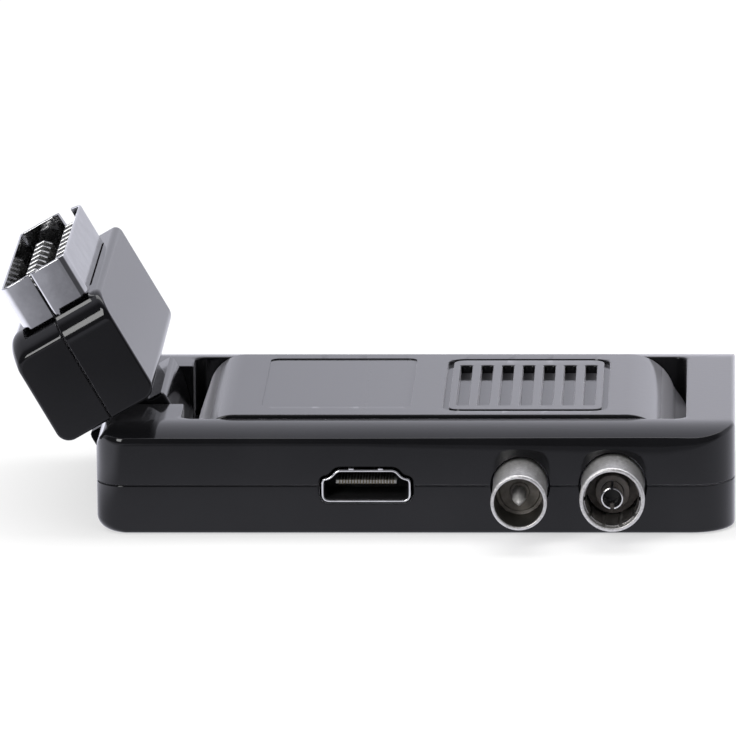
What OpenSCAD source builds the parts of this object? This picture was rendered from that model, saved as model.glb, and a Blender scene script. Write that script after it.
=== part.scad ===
// Compact digital TV decoder with a swivelling 21-contact plug head.
// Millimetres. X runs to the right end, Y to the back, Z up from the underside;
// the origin is the middle of the underside. The plug head is drawn at its rest angle.

/* [Case] */
// Width of the case from end to end
case_w = 108; // [106:0.5:111]
// Depth of the case from front face to back face
case_d = 64; // [63:0.5:67]
// Height of the flat part of the top
case_h = 17.9; // [17.6:0.1:18.3]
// Height of the seam between the two case halves
seam_z = 8.2; // [8:0.1:8.4]
// Wall thickness of the case
wall = 2; // [1.8:0.1:2.1]
// Run of the curved strip along the front and back of the top
crown_run = 8; // [7:0.5:9]
// Fall of that strip from the flat top to the sharp front edge
crown_drop = 1.6; // [1.2:0.1:1.9]
// Plan radius of the front left corner
corner_fl = 5; // [4:0.5:6]
// Plan radius of the front right corner
corner_fr = 7.5; // [6:0.5:8]
// Plan radius of the two back corners
corner_back = 3; // [2.5:0.5:4]
// Radius of the top edge at the hinge end
left_edge_r = 4; // [3.5:0.5:5]
// Radius of the edge round the underside
foot_r = 1.8; // [1.2:0.2:2]

/* [Top cover] */
// Distance from the left end to the well that holds the cover
well_left = 14.1; // [13.9:0.1:14.5]
// Distance from the right end to that well
well_right = 8.3; // [8:0.1:9]
// Distance from the front face to that well
well_front = 8.8; // [8.5:0.1:9.2]
// Distance from the back face to that well
well_back = 8; // [7.8:0.1:9]
// Height of the cover above the flat top
cover_rise = 0.6; // [0.3:0.1:0.8]
// Radius of the cover's left shoulder
cover_left_r = 6.5; // [6:0.1:6.8]
// Radius of the cover's right shoulder
cover_right_r = 8.1; // [7.8:0.1:8.4]
// Thickness of the cover
cover_t = 2.2; // [2:0.1:2.4]
// Number of blind grooves in the grille
groove_n = 7; // [5:1:7]
// Pitch of the grooves
groove_pitch = 3.59; // [3.4:0.05:3.7]
// Width of one groove
groove_w = 2; // [1.6:0.1:2.2]
// Depth of one groove
groove_deep = 1.4; // [1:0.1:1.5]

/* [Swivel] */
// Distance from the left end to the hinge axis
pivot_inset = 8.15; // [8.1:0.05:8.3]
// Depth of the hinge axis below the flat top
pivot_drop = 8.65; // [8.6:0.05:8.7]
// Radius of the swivel arm's knuckle
arm_r = 6; // [5.6:0.1:6]
// Radius of the hinge pin and of the hollow trunnion
pin_r = 2.5; // [2.3:0.1:2.6]
// Running clearance of the arm on its pins
run_gap = 0.05; // [0.03:0.01:0.08]
// Lean of the plug head from upright at rest
head_lean = 30; // [28:1:32]

/* [Plug head] */
// Thickness of the head
head_t = 18.5; // [18.2:0.1:18.5]
// Length of the head along the plug axis
head_len = 19.9; // [19.5:0.1:20.4]
// Depth of the head from front to back
head_d = 57; // [56:0.5:60]
// Distance from the hinge axis to the underside of the head
head_gap = 11.2; // [11.2:0.1:12]
// Length of the plug shield
shield_l = 46; // [45.6:0.2:46.8]
// Width of the plug shield
shield_w = 12.8; // [12.6:0.1:12.8]
// Height of the shield above the head
shield_h = 7.7; // [7.2:0.1:8]
// Pitch of the contacts in one row
contact_pitch = 3.81; // [3.75:0.01:3.85]

/* [Front sockets] */
// Position of the video socket along the front
hdmi_x = -8.2; // [-12:0.2:-4]
// Width of the video socket's shell
hdmi_w = 15.1; // [14.8:0.1:15.4]
// Height of the video socket's shell
hdmi_h = 5.6; // [5.4:0.1:5.8]
// Position of the aerial outlet along the front
out_x = 17.8; // [17:0.1:18.6]
// Outer diameter of the aerial outlet's barrel
out_d = 9.5; // [9.3:0.1:9.6]
// Length of the outlet's barrel in front of the case
out_len = 12.3; // [11:0.1:13]
// Position of the aerial inlet along the front
in_x = 33.4; // [32.8:0.1:34]
// Outer diameter of the aerial inlet's barrel
in_d = 11; // [10.8:0.1:11.2]
// Length of the inlet's barrel in front of the case
in_len = 10.3; // [9:0.1:12]

/* [Hidden] */
$fn = 64;

gloss_black = "#161618";
left = -case_w / 2;
right = case_w / 2;
front = -case_d / 2;
back = case_d / 2;
floor_z = wall;
roof_z = case_h - 2.1;
crown_r = (crown_run * crown_run + crown_drop * crown_drop) / (2 * crown_drop);
groove_seam = 0.22;
boss_r = 2.7;
screw_r = 1.2;
screw_xy = [[left + 4.4, front + 6.5], [left + 4.4, back - 6.5], [right - 5.2, front + 6.8], [right - 5.2, back - 5.2]];

// Well that holds the top cover, and the cover's own section
well = [left + well_left, front + well_front, right - well_right, back - well_back];
well_r = 2;
rim_t = 1.2;
rim_z = case_h - 2.7;
end_rim_z = seam_z + 0.4;
end_rim_l = 9.5;
cover_gap = 0.2;
cover_z = case_h + cover_rise;
cover_foot_z = seam_z;
cover_left_slope = 71;
cover_right_turn = 73;
cover_right_slope = 55.5;
cover_x0 = well[0] + 0.75;
cover_x1 = well[2] - cover_gap;

// Swivel slot in the hinge end
pivot_x = left + pivot_inset;
pivot_z = case_h - pivot_drop;
slot_y0 = -12;
slot_y1 = 17;
slot_gap = 0.5;
cheek_t = 4;
washer_t = 0.3;
arm_y0 = slot_y0 + washer_t + 0.05;
arm_y1 = slot_y1 - washer_t - 0.05;
slot_wall_t = 1.5;

// Circuit board
pcb_t = 1.6;
pcb_top = 5.5;
pcb_x0 = pivot_x + arm_r + slot_gap + slot_wall_t + 0.6;
pcb_x1 = right - 8.5;
pcb_y = case_d / 2 - wall - 0.5;
tuner_top = roof_z - 1.4;
chip_w = 17;
chip_h = 1.5;
chip_at = [-5.5, 6.5];
sink_over = 1;
sink_h = 7;
fin_t = 1.8;
fin_n = 5;
memory_w = 8;
memory_l = 12;
memory_h = 1.1;
capacitor_r = 3.1;
capacitor_h = 7.5;
crystal_w = 4.6;
crystal_l = 11;
crystal_h = 3.4;
wire_socket_w = 7;
wire_socket_d = 3.5;
wire_socket_h = 6;
case_wire_r = 1.1;
head_wire_r = 1.6;
post_r = 2;
post_xy = [[pcb_x0 + 4, -pcb_y + 4], [pcb_x0 + 4, pcb_y - 9], [pcb_x1 - 4, -pcb_y + 7], [pcb_x1 - 4, pcb_y - 4]];

// Sockets
socket_z = 8.3;
sheet = 0.4;
hole_gap = 0.3;
hdmi_deep = 11;
hdmi_z0 = pcb_top;
barrel_z = 8.25;
barrel_back = front + wall + 0.4;
out_insulator_in = 8.5;
usb_x = -18;
usb_w = 13.2;
usb_h = 5.8;
usb_deep = 14;
jack_z = 9.5;
power_x = 6;
power_bore_r = 2.9;
ir_x = 22;
ir_bore_r = 1.78;

// Swivel arm above its knuckle: half thickness of the shoulder, its top, half thickness of the neck
arm_half = arm_r + 1.4;
arm_top = 8.1;
neck_half = 4.6;

// Plug head, drawn upright about the hinge axis: X is its thickness, Z the plug axis
head_z0 = head_gap;
head_z1 = head_gap + head_len;
head_wall = 1.8;
head_corner_r = 2.4;
left_brow_r = 2.7;
right_brow_r = 1.8;
end_brow_r = 5;
split_x = 0.2;
shield_x = 0.65;
shield_t = 0.5;
shield_z1 = head_z1 + shield_h;
shield_z0 = head_z1 - 5.2;
shield_cut = [5.2, 4.6];
block_z1 = head_z1 - 0.6;
contact_w = 3.8;
contact_t = 0.9;
contact_z1 = shield_z1 - 2;
row_x = 2.9;
head_board_z = shield_z0 - 0.2;
head_board_t = 1.4;

// Rounded rectangle; r lists the front left, front right, back right and back left radii
module round_rect(lo, hi, r) {
    at = [[lo[0], lo[1]], [hi[0], lo[1]], [hi[0], hi[1]], [lo[0], hi[1]]];
    way = [[1, 1], [-1, 1], [-1, -1], [1, -1]];
    difference() {
        translate(lo) square(hi - lo);
        for (i = [0:3]) translate(at[i]) square(2 * r[i], center = true);
    }
    for (i = [0:3]) translate(at[i] + r[i] * way[i]) circle(r[i]);
}

// Extrudes a (Y, Z) section along X
module along_x(x0, x1) {
    translate([x0, 0, 0]) rotate([90, 0, 90]) linear_extrude(x1 - x0) children();
}

// Extrudes an (X, Z) section along Y
module along_y(y0, y1) {
    translate([0, y1, 0]) rotate([90, 0, 0]) linear_extrude(y1 - y0) children();
}

// Box between two opposite corners
module block(lo, hi) {
    translate(lo) cube(hi - lo);
}

// Round bar along Y through the point (x, z)
module bar_y(x, z, r, y0, y1) {
    translate([x, y1, z]) rotate([90, 0, 0]) cylinder(r = r, h = y1 - y0);
}

// Round tube along Y through the point (x, z)
module tube_y(x, z, r_out, r_in, y0, y1) {
    difference() {
        bar_y(x, z, r_out, y0, y1);
        bar_y(x, z, r_in, y0 - 1, y1 + 1);
    }
}

// Places the upright plug head at its rest angle on the hinge axis
module on_swivel() {
    translate([pivot_x, 0, pivot_z]) rotate([0, -head_lean, 0]) children();
}

// Cross-section of the case in (Y, Z): flat top with a curved strip at front and back
module crown_section() {
    flat = back - crown_run;
    intersection() {
        round_rect([front, 0], [back, case_h + 5], [foot_r, foot_r, 1, 1]);
        union() {
            translate([-flat, 0]) square([2 * flat, case_h]);
            for (s = [-1, 1]) intersection() {
                translate([s * flat, case_h - crown_r]) circle(crown_r, $fn = 180);
                translate([s * (flat + crown_run / 2) - crown_run / 2 - 0.5, 0]) square([crown_run + 1, case_h]);
            }
        }
    }
}

// Outer form of the closed case
module envelope() {
    intersection() {
        linear_extrude(case_h + 1)
            round_rect([left, front], [right, back], [corner_fl, corner_fr, corner_back, corner_back]);
        along_x(left - 1, right + 1) crown_section();
        along_y(front - 1, back + 1)
            round_rect([left, 0], [right, case_h], [2.4, foot_r, 0.8, left_edge_r]);
    }
}

// Hollow of the closed case
module hollow(z0, z1) {
    r = [corner_fl - wall, corner_fr - wall, corner_back - wall, corner_back - wall];
    translate([0, 0, z0]) linear_extrude(z1 - z0)
        round_rect([left + wall, front + wall], [right - wall, back - wall], r);
}

// Well plan, grown by g
module well_plan(g) {
    r = well_r + g;
    round_rect([well[0] - g, well[1] - g], [well[2] + g, well[3] + g], [r, r, r, r]);
}

// Rim round the well: shallow along the sides, deep at both ends
module well_rim() {
    translate([0, 0, rim_z]) linear_extrude(roof_z + 1 - rim_z) well_plan(rim_t);
    intersection() {
        translate([0, 0, end_rim_z]) linear_extrude(roof_z + 1 - end_rim_z) well_plan(rim_t);
        union() {
            block([left, front, 0], [well[0] + end_rim_l, back, 30]);
            block([well[2] - end_rim_l, front, 0], [right, back, 30]);
        }
    }
}

// Space in which the swivel arm turns
module arm_slot() {
    r = arm_r + slot_gap;
    low = pivot_z - arm_half - slot_gap;
    bar_y(pivot_x, pivot_z, r, slot_y0, slot_y1);
    along_y(slot_y0, slot_y1) polygon([[pivot_x, pivot_z - r + 0.1], [pivot_x - 4, low], [left - 1, low],
        [left - 1, case_h + 5], [pivot_x, case_h + 5]]);
    block([pivot_x - 1, slot_y0, pivot_z], [pivot_x + r, slot_y1, case_h + 5]);
}

// Two cheeks beside the slot, which hold the hinge pins
module cheeks(z0, z1) {
    x1 = pivot_x + arm_r + slot_gap + slot_wall_t;
    block([left + wall / 2, slot_y0 - cheek_t, z0], [x1, slot_y0, z1]);
    block([left + wall / 2, slot_y1, z0], [x1, slot_y1 + cheek_t, z1]);
}

// Bores of the two cheeks
module cheek_bores() {
    bar_y(pivot_x, pivot_z, pin_r, slot_y0 - cheek_t - 1, slot_y0 + 1);
    bar_y(pivot_x, pivot_z, pin_r, slot_y1 - 1, slot_y1 + cheek_t + 1);
}

// Outline of the video socket in (X, Z), grown by g: narrow at the top, wide below
module hdmi_outline(g) {
    w = hdmi_w / 2 + g;
    n = hdmi_w / 2 - 2.6 + 0.45 * g;
    z0 = hdmi_z0 - g;
    z1 = hdmi_z0 + hdmi_h + g;
    side = [[n, z1], [n + 1.2, z1 - 1.35], [w - 0.55, z1 - 1.62], [w - 0.12, z1 - 1.95], [w, z1 - 2.4],
        [w, z0 + 0.75], [w - 0.22, z0 + 0.22], [w - 0.75, z0]];
    last = len(side) - 1;
    polygon(concat([for (p = side) [hdmi_x + p[0], p[1]]],
        [for (i = [0:last]) [hdmi_x - side[last - i][0], side[last - i][1]]]));
}

// Openings for every socket in the front and back walls
module port_holes() {
    along_y(front - 1, front + wall + 1) hdmi_outline(hole_gap);
    bar_y(out_x, barrel_z, out_d / 2 + hole_gap, front - 1, front + wall + 1);
    bar_y(in_x, barrel_z, in_d / 2 + hole_gap, front - 1, front + wall + 1);
    block([usb_x - usb_w / 2 - hole_gap, back - wall - 1, pcb_top - hole_gap],
        [usb_x + usb_w / 2 + hole_gap, back + 1, pcb_top + usb_h + hole_gap]);
    bar_y(power_x, jack_z, power_bore_r + 1, back - wall - 1, back + 1);
    bar_y(ir_x, jack_z, ir_bore_r + 1.4, back - wall - 1, back + 1);
}

// Lower half of the case: floor, walls, cheeks, board posts and screw wells
module bottom_case() color(gloss_black) difference() {
    intersection() {
        envelope();
        block([left - 1, front - 1, -1], [right + 1, back + 1, seam_z]);
    }
    difference() {
        hollow(floor_z, seam_z + 1);
        cheeks(0, seam_z + 2);
        block([pivot_x, slot_y0 - cheek_t, 0], [pivot_x + arm_r + slot_gap + slot_wall_t, slot_y1 + cheek_t, seam_z + 2]);
        for (p = screw_xy) translate([p[0], p[1], 0]) cylinder(r = boss_r, h = seam_z + 2);
        for (p = post_xy) translate([p[0], p[1], 0]) {
            cylinder(r = post_r, h = pcb_top - pcb_t);
            cylinder(r = 0.9, h = pcb_top + 0.8);
        }
    }
    arm_slot();
    cheek_bores();
    port_holes();
    for (p = screw_xy) translate([p[0], p[1], -1]) {
        cylinder(r = screw_r + 0.15, h = seam_z + 2);
        cylinder(r = screw_r + 1.1, h = 2.5);
    }
}

// Upper half of the case: curved top with the well, its rim, cheeks and screw bosses
module top_case() color(gloss_black) difference() {
    intersection() {
        envelope();
        block([left - 1, front - 1, seam_z], [right + 1, back + 1, case_h + 1]);
    }
    difference() {
        hollow(seam_z - 1, roof_z);
        well_rim();
        cheeks(seam_z - 2, roof_z + 1);
        for (p = screw_xy) translate([p[0], p[1], 0]) cylinder(r = boss_r, h = roof_z + 1);
    }
    translate([0, 0, seam_z - 1]) linear_extrude(case_h) well_plan(0);
    arm_slot();
    cheek_bores();
    port_holes();
    for (p = screw_xy) translate([p[0], p[1], seam_z - 1]) cylinder(r = screw_r, h = 7);
    translate([0, 0, seam_z - 0.1]) linear_extrude(groove_seam + 0.1) difference() {
        translate([left - 1, front - 1]) square([case_w + 2, case_d + 2]);
        round_rect([left + 0.35, front + 0.35], [right - 0.35, back - 0.35], [corner_fl, corner_fr, corner_back, corner_back]);
    }
}

// Section of the top cover in (X, Z), shrunk by t on its upper side
module cover_section(t) {
    rl = cover_left_r - t;
    rr = cover_right_r - t;
    zt = cover_z - t;
    left_run = cover_left_r * sin(cover_left_slope)
        + (cover_z - cover_left_r * (1 - cos(cover_left_slope)) - cover_foot_z) / tan(cover_left_slope);
    xl = cover_x0 + left_run;
    right_run = cover_right_r * sin(cover_right_turn);
    turn_z = cover_z - cover_right_r * (1 - cos(cover_right_turn));
    xr = cover_x1 - right_run - 2.15;
    ramp_x = xr + right_run;
    intersection() {
        translate([cover_x0 + t * 1.1, cover_foot_z - (t > 0 ? 1 : 0)]) square([cover_x1 - cover_x0 - 2.1 * t, zt - cover_foot_z + (t > 0 ? 1 : 0)]);
        union() {
            translate([xl, cover_foot_z - 1]) square([xr - xl, zt - cover_foot_z + 1]);
            translate([xl, cover_z - cover_left_r]) circle(rl, $fn = 128);
            translate([xr, cover_z - cover_right_r]) circle(rr, $fn = 128);
            polygon([[xl, cover_foot_z - 1],
                [cover_x0 + t / sin(cover_left_slope) - 1 / tan(cover_left_slope), cover_foot_z - 1],
                [xl - rl * sin(cover_left_slope), cover_z - cover_left_r + rl * cos(cover_left_slope)],
                [xl, cover_z - cover_left_r]]);
            polygon([[xr, cover_foot_z - 1], [xr, cover_z - cover_right_r],
                [ramp_x - t, turn_z - t * 0.6],
                [cover_x1 - t, turn_z - t * 0.6 - (cover_x1 - ramp_x) * tan(cover_right_slope)],
                [cover_x1 - t, cover_foot_z - 1]]);
        }
    }
}

// Rounded ring groove of the grille and the row of blind grooves inside it
module grille_cuts() {
    cx = (well[0] + well[2]) / 2 + 15.5;
    pad = [cx - 14, -20.05, cx + 14, 19.75];
    translate([0, 0, cover_z - 0.7]) linear_extrude(2) difference() {
        round_rect([pad[0], pad[1]], [pad[2], pad[3]], [3, 3, 3, 3]);
        round_rect([pad[0] + 1, pad[1] + 1], [pad[2] - 1, pad[3] - 1], [2.2, 2.2, 2.2, 2.2]);
    }
    for (i = [0:groove_n - 1]) {
        x = cx + (i - (groove_n - 1) / 2) * groove_pitch;
        block([x - groove_w / 2, -15.75, cover_z - groove_deep], [x + groove_w / 2, 14.85, cover_z + 1]);
    }
}

// Raised cover in the top: flat panel, rounded ends, grille and a shallow blank panel
module top_cover() color(gloss_black) difference() {
    along_y(well[1] + cover_gap, well[3] - cover_gap) cover_section(0);
    along_y(well[1] + cover_gap + 1.4, well[3] - cover_gap - 1.4) cover_section(cover_t);
    block([well[0] + end_rim_l, front, 0], [well[2] - end_rim_l, back, rim_z]);
    grille_cuts();
    cx = (well[0] + well[2]) / 2 - 16.7;
    translate([0, 0, cover_z - 0.25]) linear_extrude(2)
        round_rect([cx - 12.7, -16.9], [cx + 12.7, 20.3], [1.5, 1.5, 1.5, 1.5]);
}

// Four countersunk case screws, driven in from below
module case_screws() color("#8a8d90") for (p = screw_xy) translate([p[0], p[1], 0]) difference() {
    union() {
        translate([0, 0, 0.3]) cylinder(r = screw_r + 0.9, h = 1.2);
        translate([0, 0, 0.3]) cylinder(r = screw_r - 0.02, h = seam_z + 5);
    }
    for (a = [0, 90]) rotate([0, 0, a]) translate([-1.3, -0.25, -1]) cube([2.6, 0.5, 1.9]);
}

// Main circuit board on its four posts
module circuit_board() color("#1f5a35") difference() {
    block([pcb_x0, -pcb_y, pcb_top - pcb_t], [pcb_x1, pcb_y, pcb_top]);
    for (p = post_xy) translate([p[0], p[1], 0]) cylinder(r = 1, h = 20);
}

// Tin-plated tuner box, open towards the board
module tuner_can() color("#c3c6c8") difference() {
    union() {
        block([out_x - 6.3, barrel_back, pcb_top], [in_x + 7, front + 7.2, tuner_top]);
        block([out_x - 6.3, front + 6, pcb_top], [in_x + 1.6, front + 24, tuner_top]);
    }
    block([out_x - 5.8, barrel_back + 0.5, pcb_top - 1], [in_x + 6.5, front + 6.7, tuner_top - 0.5]);
    block([out_x - 5.8, front + 5, pcb_top - 1], [in_x + 1.1, front + 23.5, tuner_top - 0.5]);
}

// Main processor
module main_chip() color("#2b2b2d") translate([chip_at[0], chip_at[1], pcb_top + chip_h / 2])
    cube([chip_w, chip_w, chip_h], center = true);

// Finned heat sink on the processor
module heat_sink() color("#9aa0a6") translate([chip_at[0], chip_at[1], pcb_top + chip_h]) difference() {
    w = chip_w / 2 + sink_over;
    pitch = (2 * w - fin_t / 2) / fin_n;
    block([-w, -w, 0], [w, w, sink_h]);
    for (i = [0:fin_n - 1]) translate([(i - (fin_n - 1) / 2) * pitch, 0, 0])
        block([-fin_t / 2, -w - 1, chip_h], [fin_t / 2, w + 1, sink_h + 1]);
}

// Memory chip
module memory_chip() color("#2b2b2d") translate([12, 0, pcb_top]) cube([memory_w, memory_l, memory_h]);

// Electrolytic capacitors near the power jack
module capacitors() color("#3a3f55") for (p = [[27, 3], [27, 12], [34, 8]])
    translate([p[0], p[1], pcb_top]) cylinder(r = capacitor_r, h = capacitor_h);

// Clock crystal
module crystal() color("#c9c9c4") {
    r = crystal_w / 2 - 0.1;
    translate([usb_x - 6, back - usb_deep - 1 - crystal_l, pcb_top]) linear_extrude(crystal_h)
        round_rect([0, 0], [crystal_w, crystal_l], [r, r, r, r]);
}

// Socket on the board for the plug wires
module wire_socket() color("#e8e4d8") translate([pcb_x0 + 1, pcb_y - 0.4 - wire_socket_d, pcb_top])
    cube([wire_socket_w, wire_socket_d, wire_socket_h]);

// Wires from the board to the hollow trunnion
module case_wires() color("#6d6f78") {
    y = pcb_y - 2.2;
    bar_y(pivot_x, pivot_z, case_wire_r, 4.4, y);
    translate([pivot_x, y, pivot_z]) sphere(case_wire_r);
    translate([pivot_x, y, pivot_z]) rotate([0, 90, 0]) cylinder(r = case_wire_r, h = pcb_x0 + 1 - pivot_x);
}

// Shell of the video socket
module hdmi_shell() color("#c9c9c9") difference() {
    along_y(front - 0.3, front - 0.3 + hdmi_deep) hdmi_outline(0);
    along_y(front - 1, front - 0.3 + hdmi_deep + 1) hdmi_outline(-sheet);
}

// Insulator of the video socket with its tongue
module hdmi_tongue() color("#d8d6cf") {
    y1 = front - 0.3 + hdmi_deep;
    z = hdmi_z0 + hdmi_h;
    along_y(y1 - 1.6, y1 - 0.2) hdmi_outline(-sheet - 0.03);
    block([hdmi_x - 5.1, front + 1.2, z - 2.9], [hdmi_x + 5.1, y1 - 1.6, z - 1.9]);
}

// Nineteen contact strips on the tongue
module hdmi_contacts() color("#c8a552") for (i = [0:18]) {
    z = hdmi_z0 + hdmi_h - (i % 2 == 0 ? 3 : 1.9);
    x = hdmi_x + (i - 9) * 0.5;
    block([x - 0.18, front + 1.8, z], [x + 0.18, front - 0.3 + hdmi_deep - 1.6, z + 0.1]);
}

// Barrel of the aerial outlet, stepped down where it passes the front wall
module aerial_out_barrel() color("#b9babc") {
    tube_y(out_x, barrel_z, out_d / 2, out_d / 2 - 0.63, front - out_len, front);
    tube_y(out_x, barrel_z, out_d / 2 - 0.15, out_d / 2 - 0.63, front, barrel_back);
}

// Insulating disc inside the outlet
module aerial_out_insulator() color("#8d8378")
    tube_y(out_x, barrel_z, out_d / 2 - 0.65, 0.77, front - out_len + out_insulator_in, barrel_back);

// Centre pin of the outlet, thinner in the insulator, with its pointed tip
module aerial_out_pin() color("#c8c8c6") translate([out_x, barrel_back, barrel_z]) rotate([90, 0, 0]) {
    held = barrel_back - front + out_len - out_insulator_in;
    rotate_extrude() polygon([[0, 0], [0.75, 0], [0.75, held], [1.13, held],
        [1.13, out_len + 0.2], [0.35, out_len + 1.6], [0, out_len + 1.6]]);
}

// Barrel of the aerial inlet, stepped down where it passes the front wall
module aerial_in_barrel() color("#b9babc") {
    tube_y(in_x, barrel_z, in_d / 2, in_d / 2 - 0.7, front - in_len, front);
    tube_y(in_x, barrel_z, in_d / 2 - 0.15, in_d / 2 - 0.7, front, barrel_back);
}

// Spring ring with fingers inside the inlet
module aerial_in_spring() color("#a9a9a6") difference() {
    tube_y(in_x, barrel_z, in_d / 2 - 0.72, in_d / 2 - 1.05, front - in_len + 1.2, barrel_back);
    for (a = [0:60:300]) translate([in_x, front - in_len, barrel_z]) rotate([0, a, 0])
        block([2, -1, -0.3], [8, 9, 0.3]);
}

// Insulating sleeve round the inlet's contact
module aerial_in_insulator() color("#e0ddd2")
    tube_y(in_x, barrel_z, 2.95, 1.87, front - in_len + 1.6, barrel_back);

// Slotted centre contact of the inlet
module aerial_in_contact() color("#c8a552") difference() {
    tube_y(in_x, barrel_z, 1.85, 1.2, front - in_len + 1.2, barrel_back);
    block([in_x - 0.2, front - in_len, barrel_z - 3], [in_x + 0.2, front - in_len + 6, barrel_z + 3]);
}

// Shell of the data socket in the back
module usb_shell() color("#c9c9c9") difference() {
    block([usb_x - usb_w / 2, back + 0.2 - usb_deep, pcb_top], [usb_x + usb_w / 2, back + 0.2, pcb_top + usb_h]);
    block([usb_x - usb_w / 2 + sheet, back - usb_deep - 1, pcb_top + sheet],
        [usb_x + usb_w / 2 - sheet, back + 1, pcb_top + usb_h - sheet]);
}

// Tongue of the data socket
module usb_tongue() color("#e6e6e2") {
    x = usb_w / 2 - sheet - 0.03;
    z0 = pcb_top + sheet + 0.03;
    z1 = pcb_top + usb_h - sheet - 0.03;
    block([usb_x - x, back - usb_deep + 0.6, z0], [usb_x + x, back - usb_deep + 4, z1]);
    block([usb_x - 5.6, back - usb_deep + 4, z1 - 2.4], [usb_x + 5.6, back - 0.9, z1 - 0.6]);
}

// Body of the power jack in the back
module power_jack() color("#1c1c1e") difference() {
    union() {
        block([power_x - 4.5, back - wall - 11, pcb_top], [power_x + 4.5, back - wall - 0.2, jack_z + 4.2]);
        bar_y(power_x, jack_z, power_bore_r + 0.8, back - wall - 1, back - 0.3);
    }
    bar_y(power_x, jack_z, power_bore_r, back - wall - 8, back + 1);
    bar_y(power_x, jack_z, 1, back - wall - 10, back);
}

// Centre pin of the power jack
module power_pin() color("#c8c8c6") bar_y(power_x, jack_z, 1, back - wall - 10, back - 2.2);

// Jack for the infrared receiver lead, with its threaded nose
module infrared_jack() color("#1c1c1e") difference() {
    union() {
        block([ir_x - 3.6, back - wall - 12, pcb_top], [ir_x + 3.6, back - wall - 0.2, jack_z + 3.6]);
        bar_y(ir_x, jack_z, ir_bore_r + 1.2, back - wall - 1, back + 0.3);
    }
    bar_y(ir_x, jack_z, ir_bore_r, back - wall - 10.5, back + 1);
}

// Solid front hinge pin, held in the front cheek
module hinge_pin() color("#a5a8ab") bar_y(pivot_x, pivot_z, pin_r, slot_y0 - cheek_t, slot_y0 + 6);

// Hollow rear trunnion, held in the rear cheek; the wires run through it
module hinge_trunnion() color("#a5a8ab")
    tube_y(pivot_x, pivot_z, pin_r, pin_r - 0.8, slot_y1 - 6, slot_y1 + cheek_t);

// Friction washers between the arm and the cheeks
module friction_washers() color("#8f9194") {
    tube_y(pivot_x, pivot_z, arm_r - 1, pin_r + 0.02, slot_y0, slot_y0 + washer_t);
    tube_y(pivot_x, pivot_z, arm_r - 1, pin_r + 0.02, slot_y1 - washer_t, slot_y1);
}

// Swivel arm: hollow knuckle on the hinge axis, wider shoulder, neck with a flange clamped in the head
module swivel_arm() color(gloss_black) on_swivel() difference() {
    union() {
        bar_y(0, 0, arm_r, arm_y0, arm_y1);
        along_y(arm_y0, arm_y1) polygon([[0.6 - arm_r, -0.9], [arm_r - 0.6, -0.9], [arm_half, 4.2],
            [arm_half, arm_top - 0.5], [arm_half - 0.5, arm_top], [0.5 - arm_half, arm_top],
            [-arm_half, arm_top - 0.5], [-arm_half, 4.2]]);
        block([-neck_half, arm_y0, arm_top - 1], [neck_half, arm_y1, head_z0 + head_wall + 1]);
        block([-head_t / 2 + head_wall + 0.05, arm_y0 - 2, head_z0 + head_wall + 0.5],
            [head_t / 2 - head_wall - 0.05, arm_y1 + 2, head_z0 + head_wall + 2]);
    }
    bar_y(0, 0, pin_r + run_gap, arm_y0 - 1, arm_y1 + 1);
    block([-3.2, -4.5, -3.2], [3.2, 9.5, head_z1]);
}

// Outer form of the plug head, upright: round lower corners and soft edges round the top
module head_form() {
    h = head_t / 2;
    d = head_d / 2;
    intersection() {
        along_y(-d, d)
            round_rect([-h, head_z0], [h, head_z1], [head_corner_r, head_corner_r, right_brow_r, left_brow_r]);
        along_x(-h - 1, h + 1) round_rect([-d, head_z0 - 5], [d, head_z1], [1, 1, end_brow_r, end_brow_r]);
    }
}

// Hollow of the head with its openings for the arm and the plug and a channel before the shield
module head_hollow() {
    h = head_t / 2 - head_wall;
    block([-h, -head_d / 2 + head_wall, head_z0 + head_wall + 0.4], [h, head_d / 2 - head_wall, head_z1 - head_wall]);
    block([-neck_half - 0.05, arm_y0 - 0.05, head_z0 - 1],
        [neck_half + 0.05, arm_y1 + 0.05, head_z0 + head_wall + 1]);
    block([shield_x - shield_w / 2 - 0.1, -shield_l / 2 - 1.4, head_z1 - 1],
        [shield_x + shield_w / 2 + 0.1, -shield_l / 2 + 0.5, head_z1 + 1]);
    block([shield_x - shield_w / 2 - 0.1, -shield_l / 2 - 0.1, head_z1 - head_wall - 1],
        [shield_x + shield_w / 2 + 0.1, shield_l / 2 + 0.1, head_z1 + 1]);
}

// Places its child at the two head screws; the screw axis runs along X
module at_head_screws() {
    for (y = [-head_d / 2 + 4.6, head_d / 2 - 4.6])
        translate([0, y, head_z0 + 8.5]) rotate([0, 90, 0]) children();
}

// Left half of the head shell, with the screw wells
module head_shell_left() color(gloss_black) on_swivel() difference() {
    intersection() {
        head_form();
        block([-head_t, -head_d, 0], [split_x, head_d, 2 * head_z1]);
    }
    difference() {
        head_hollow();
        at_head_screws() translate([0, 0, -head_t]) cylinder(r = 2.2, h = head_t + split_x);
    }
    at_head_screws() translate([0, 0, -head_t]) cylinder(r = 1.2, h = 2 * head_t);
    at_head_screws() translate([0, 0, -head_t]) cylinder(r = 1.9, h = head_t / 2 + 2);
}

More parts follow.
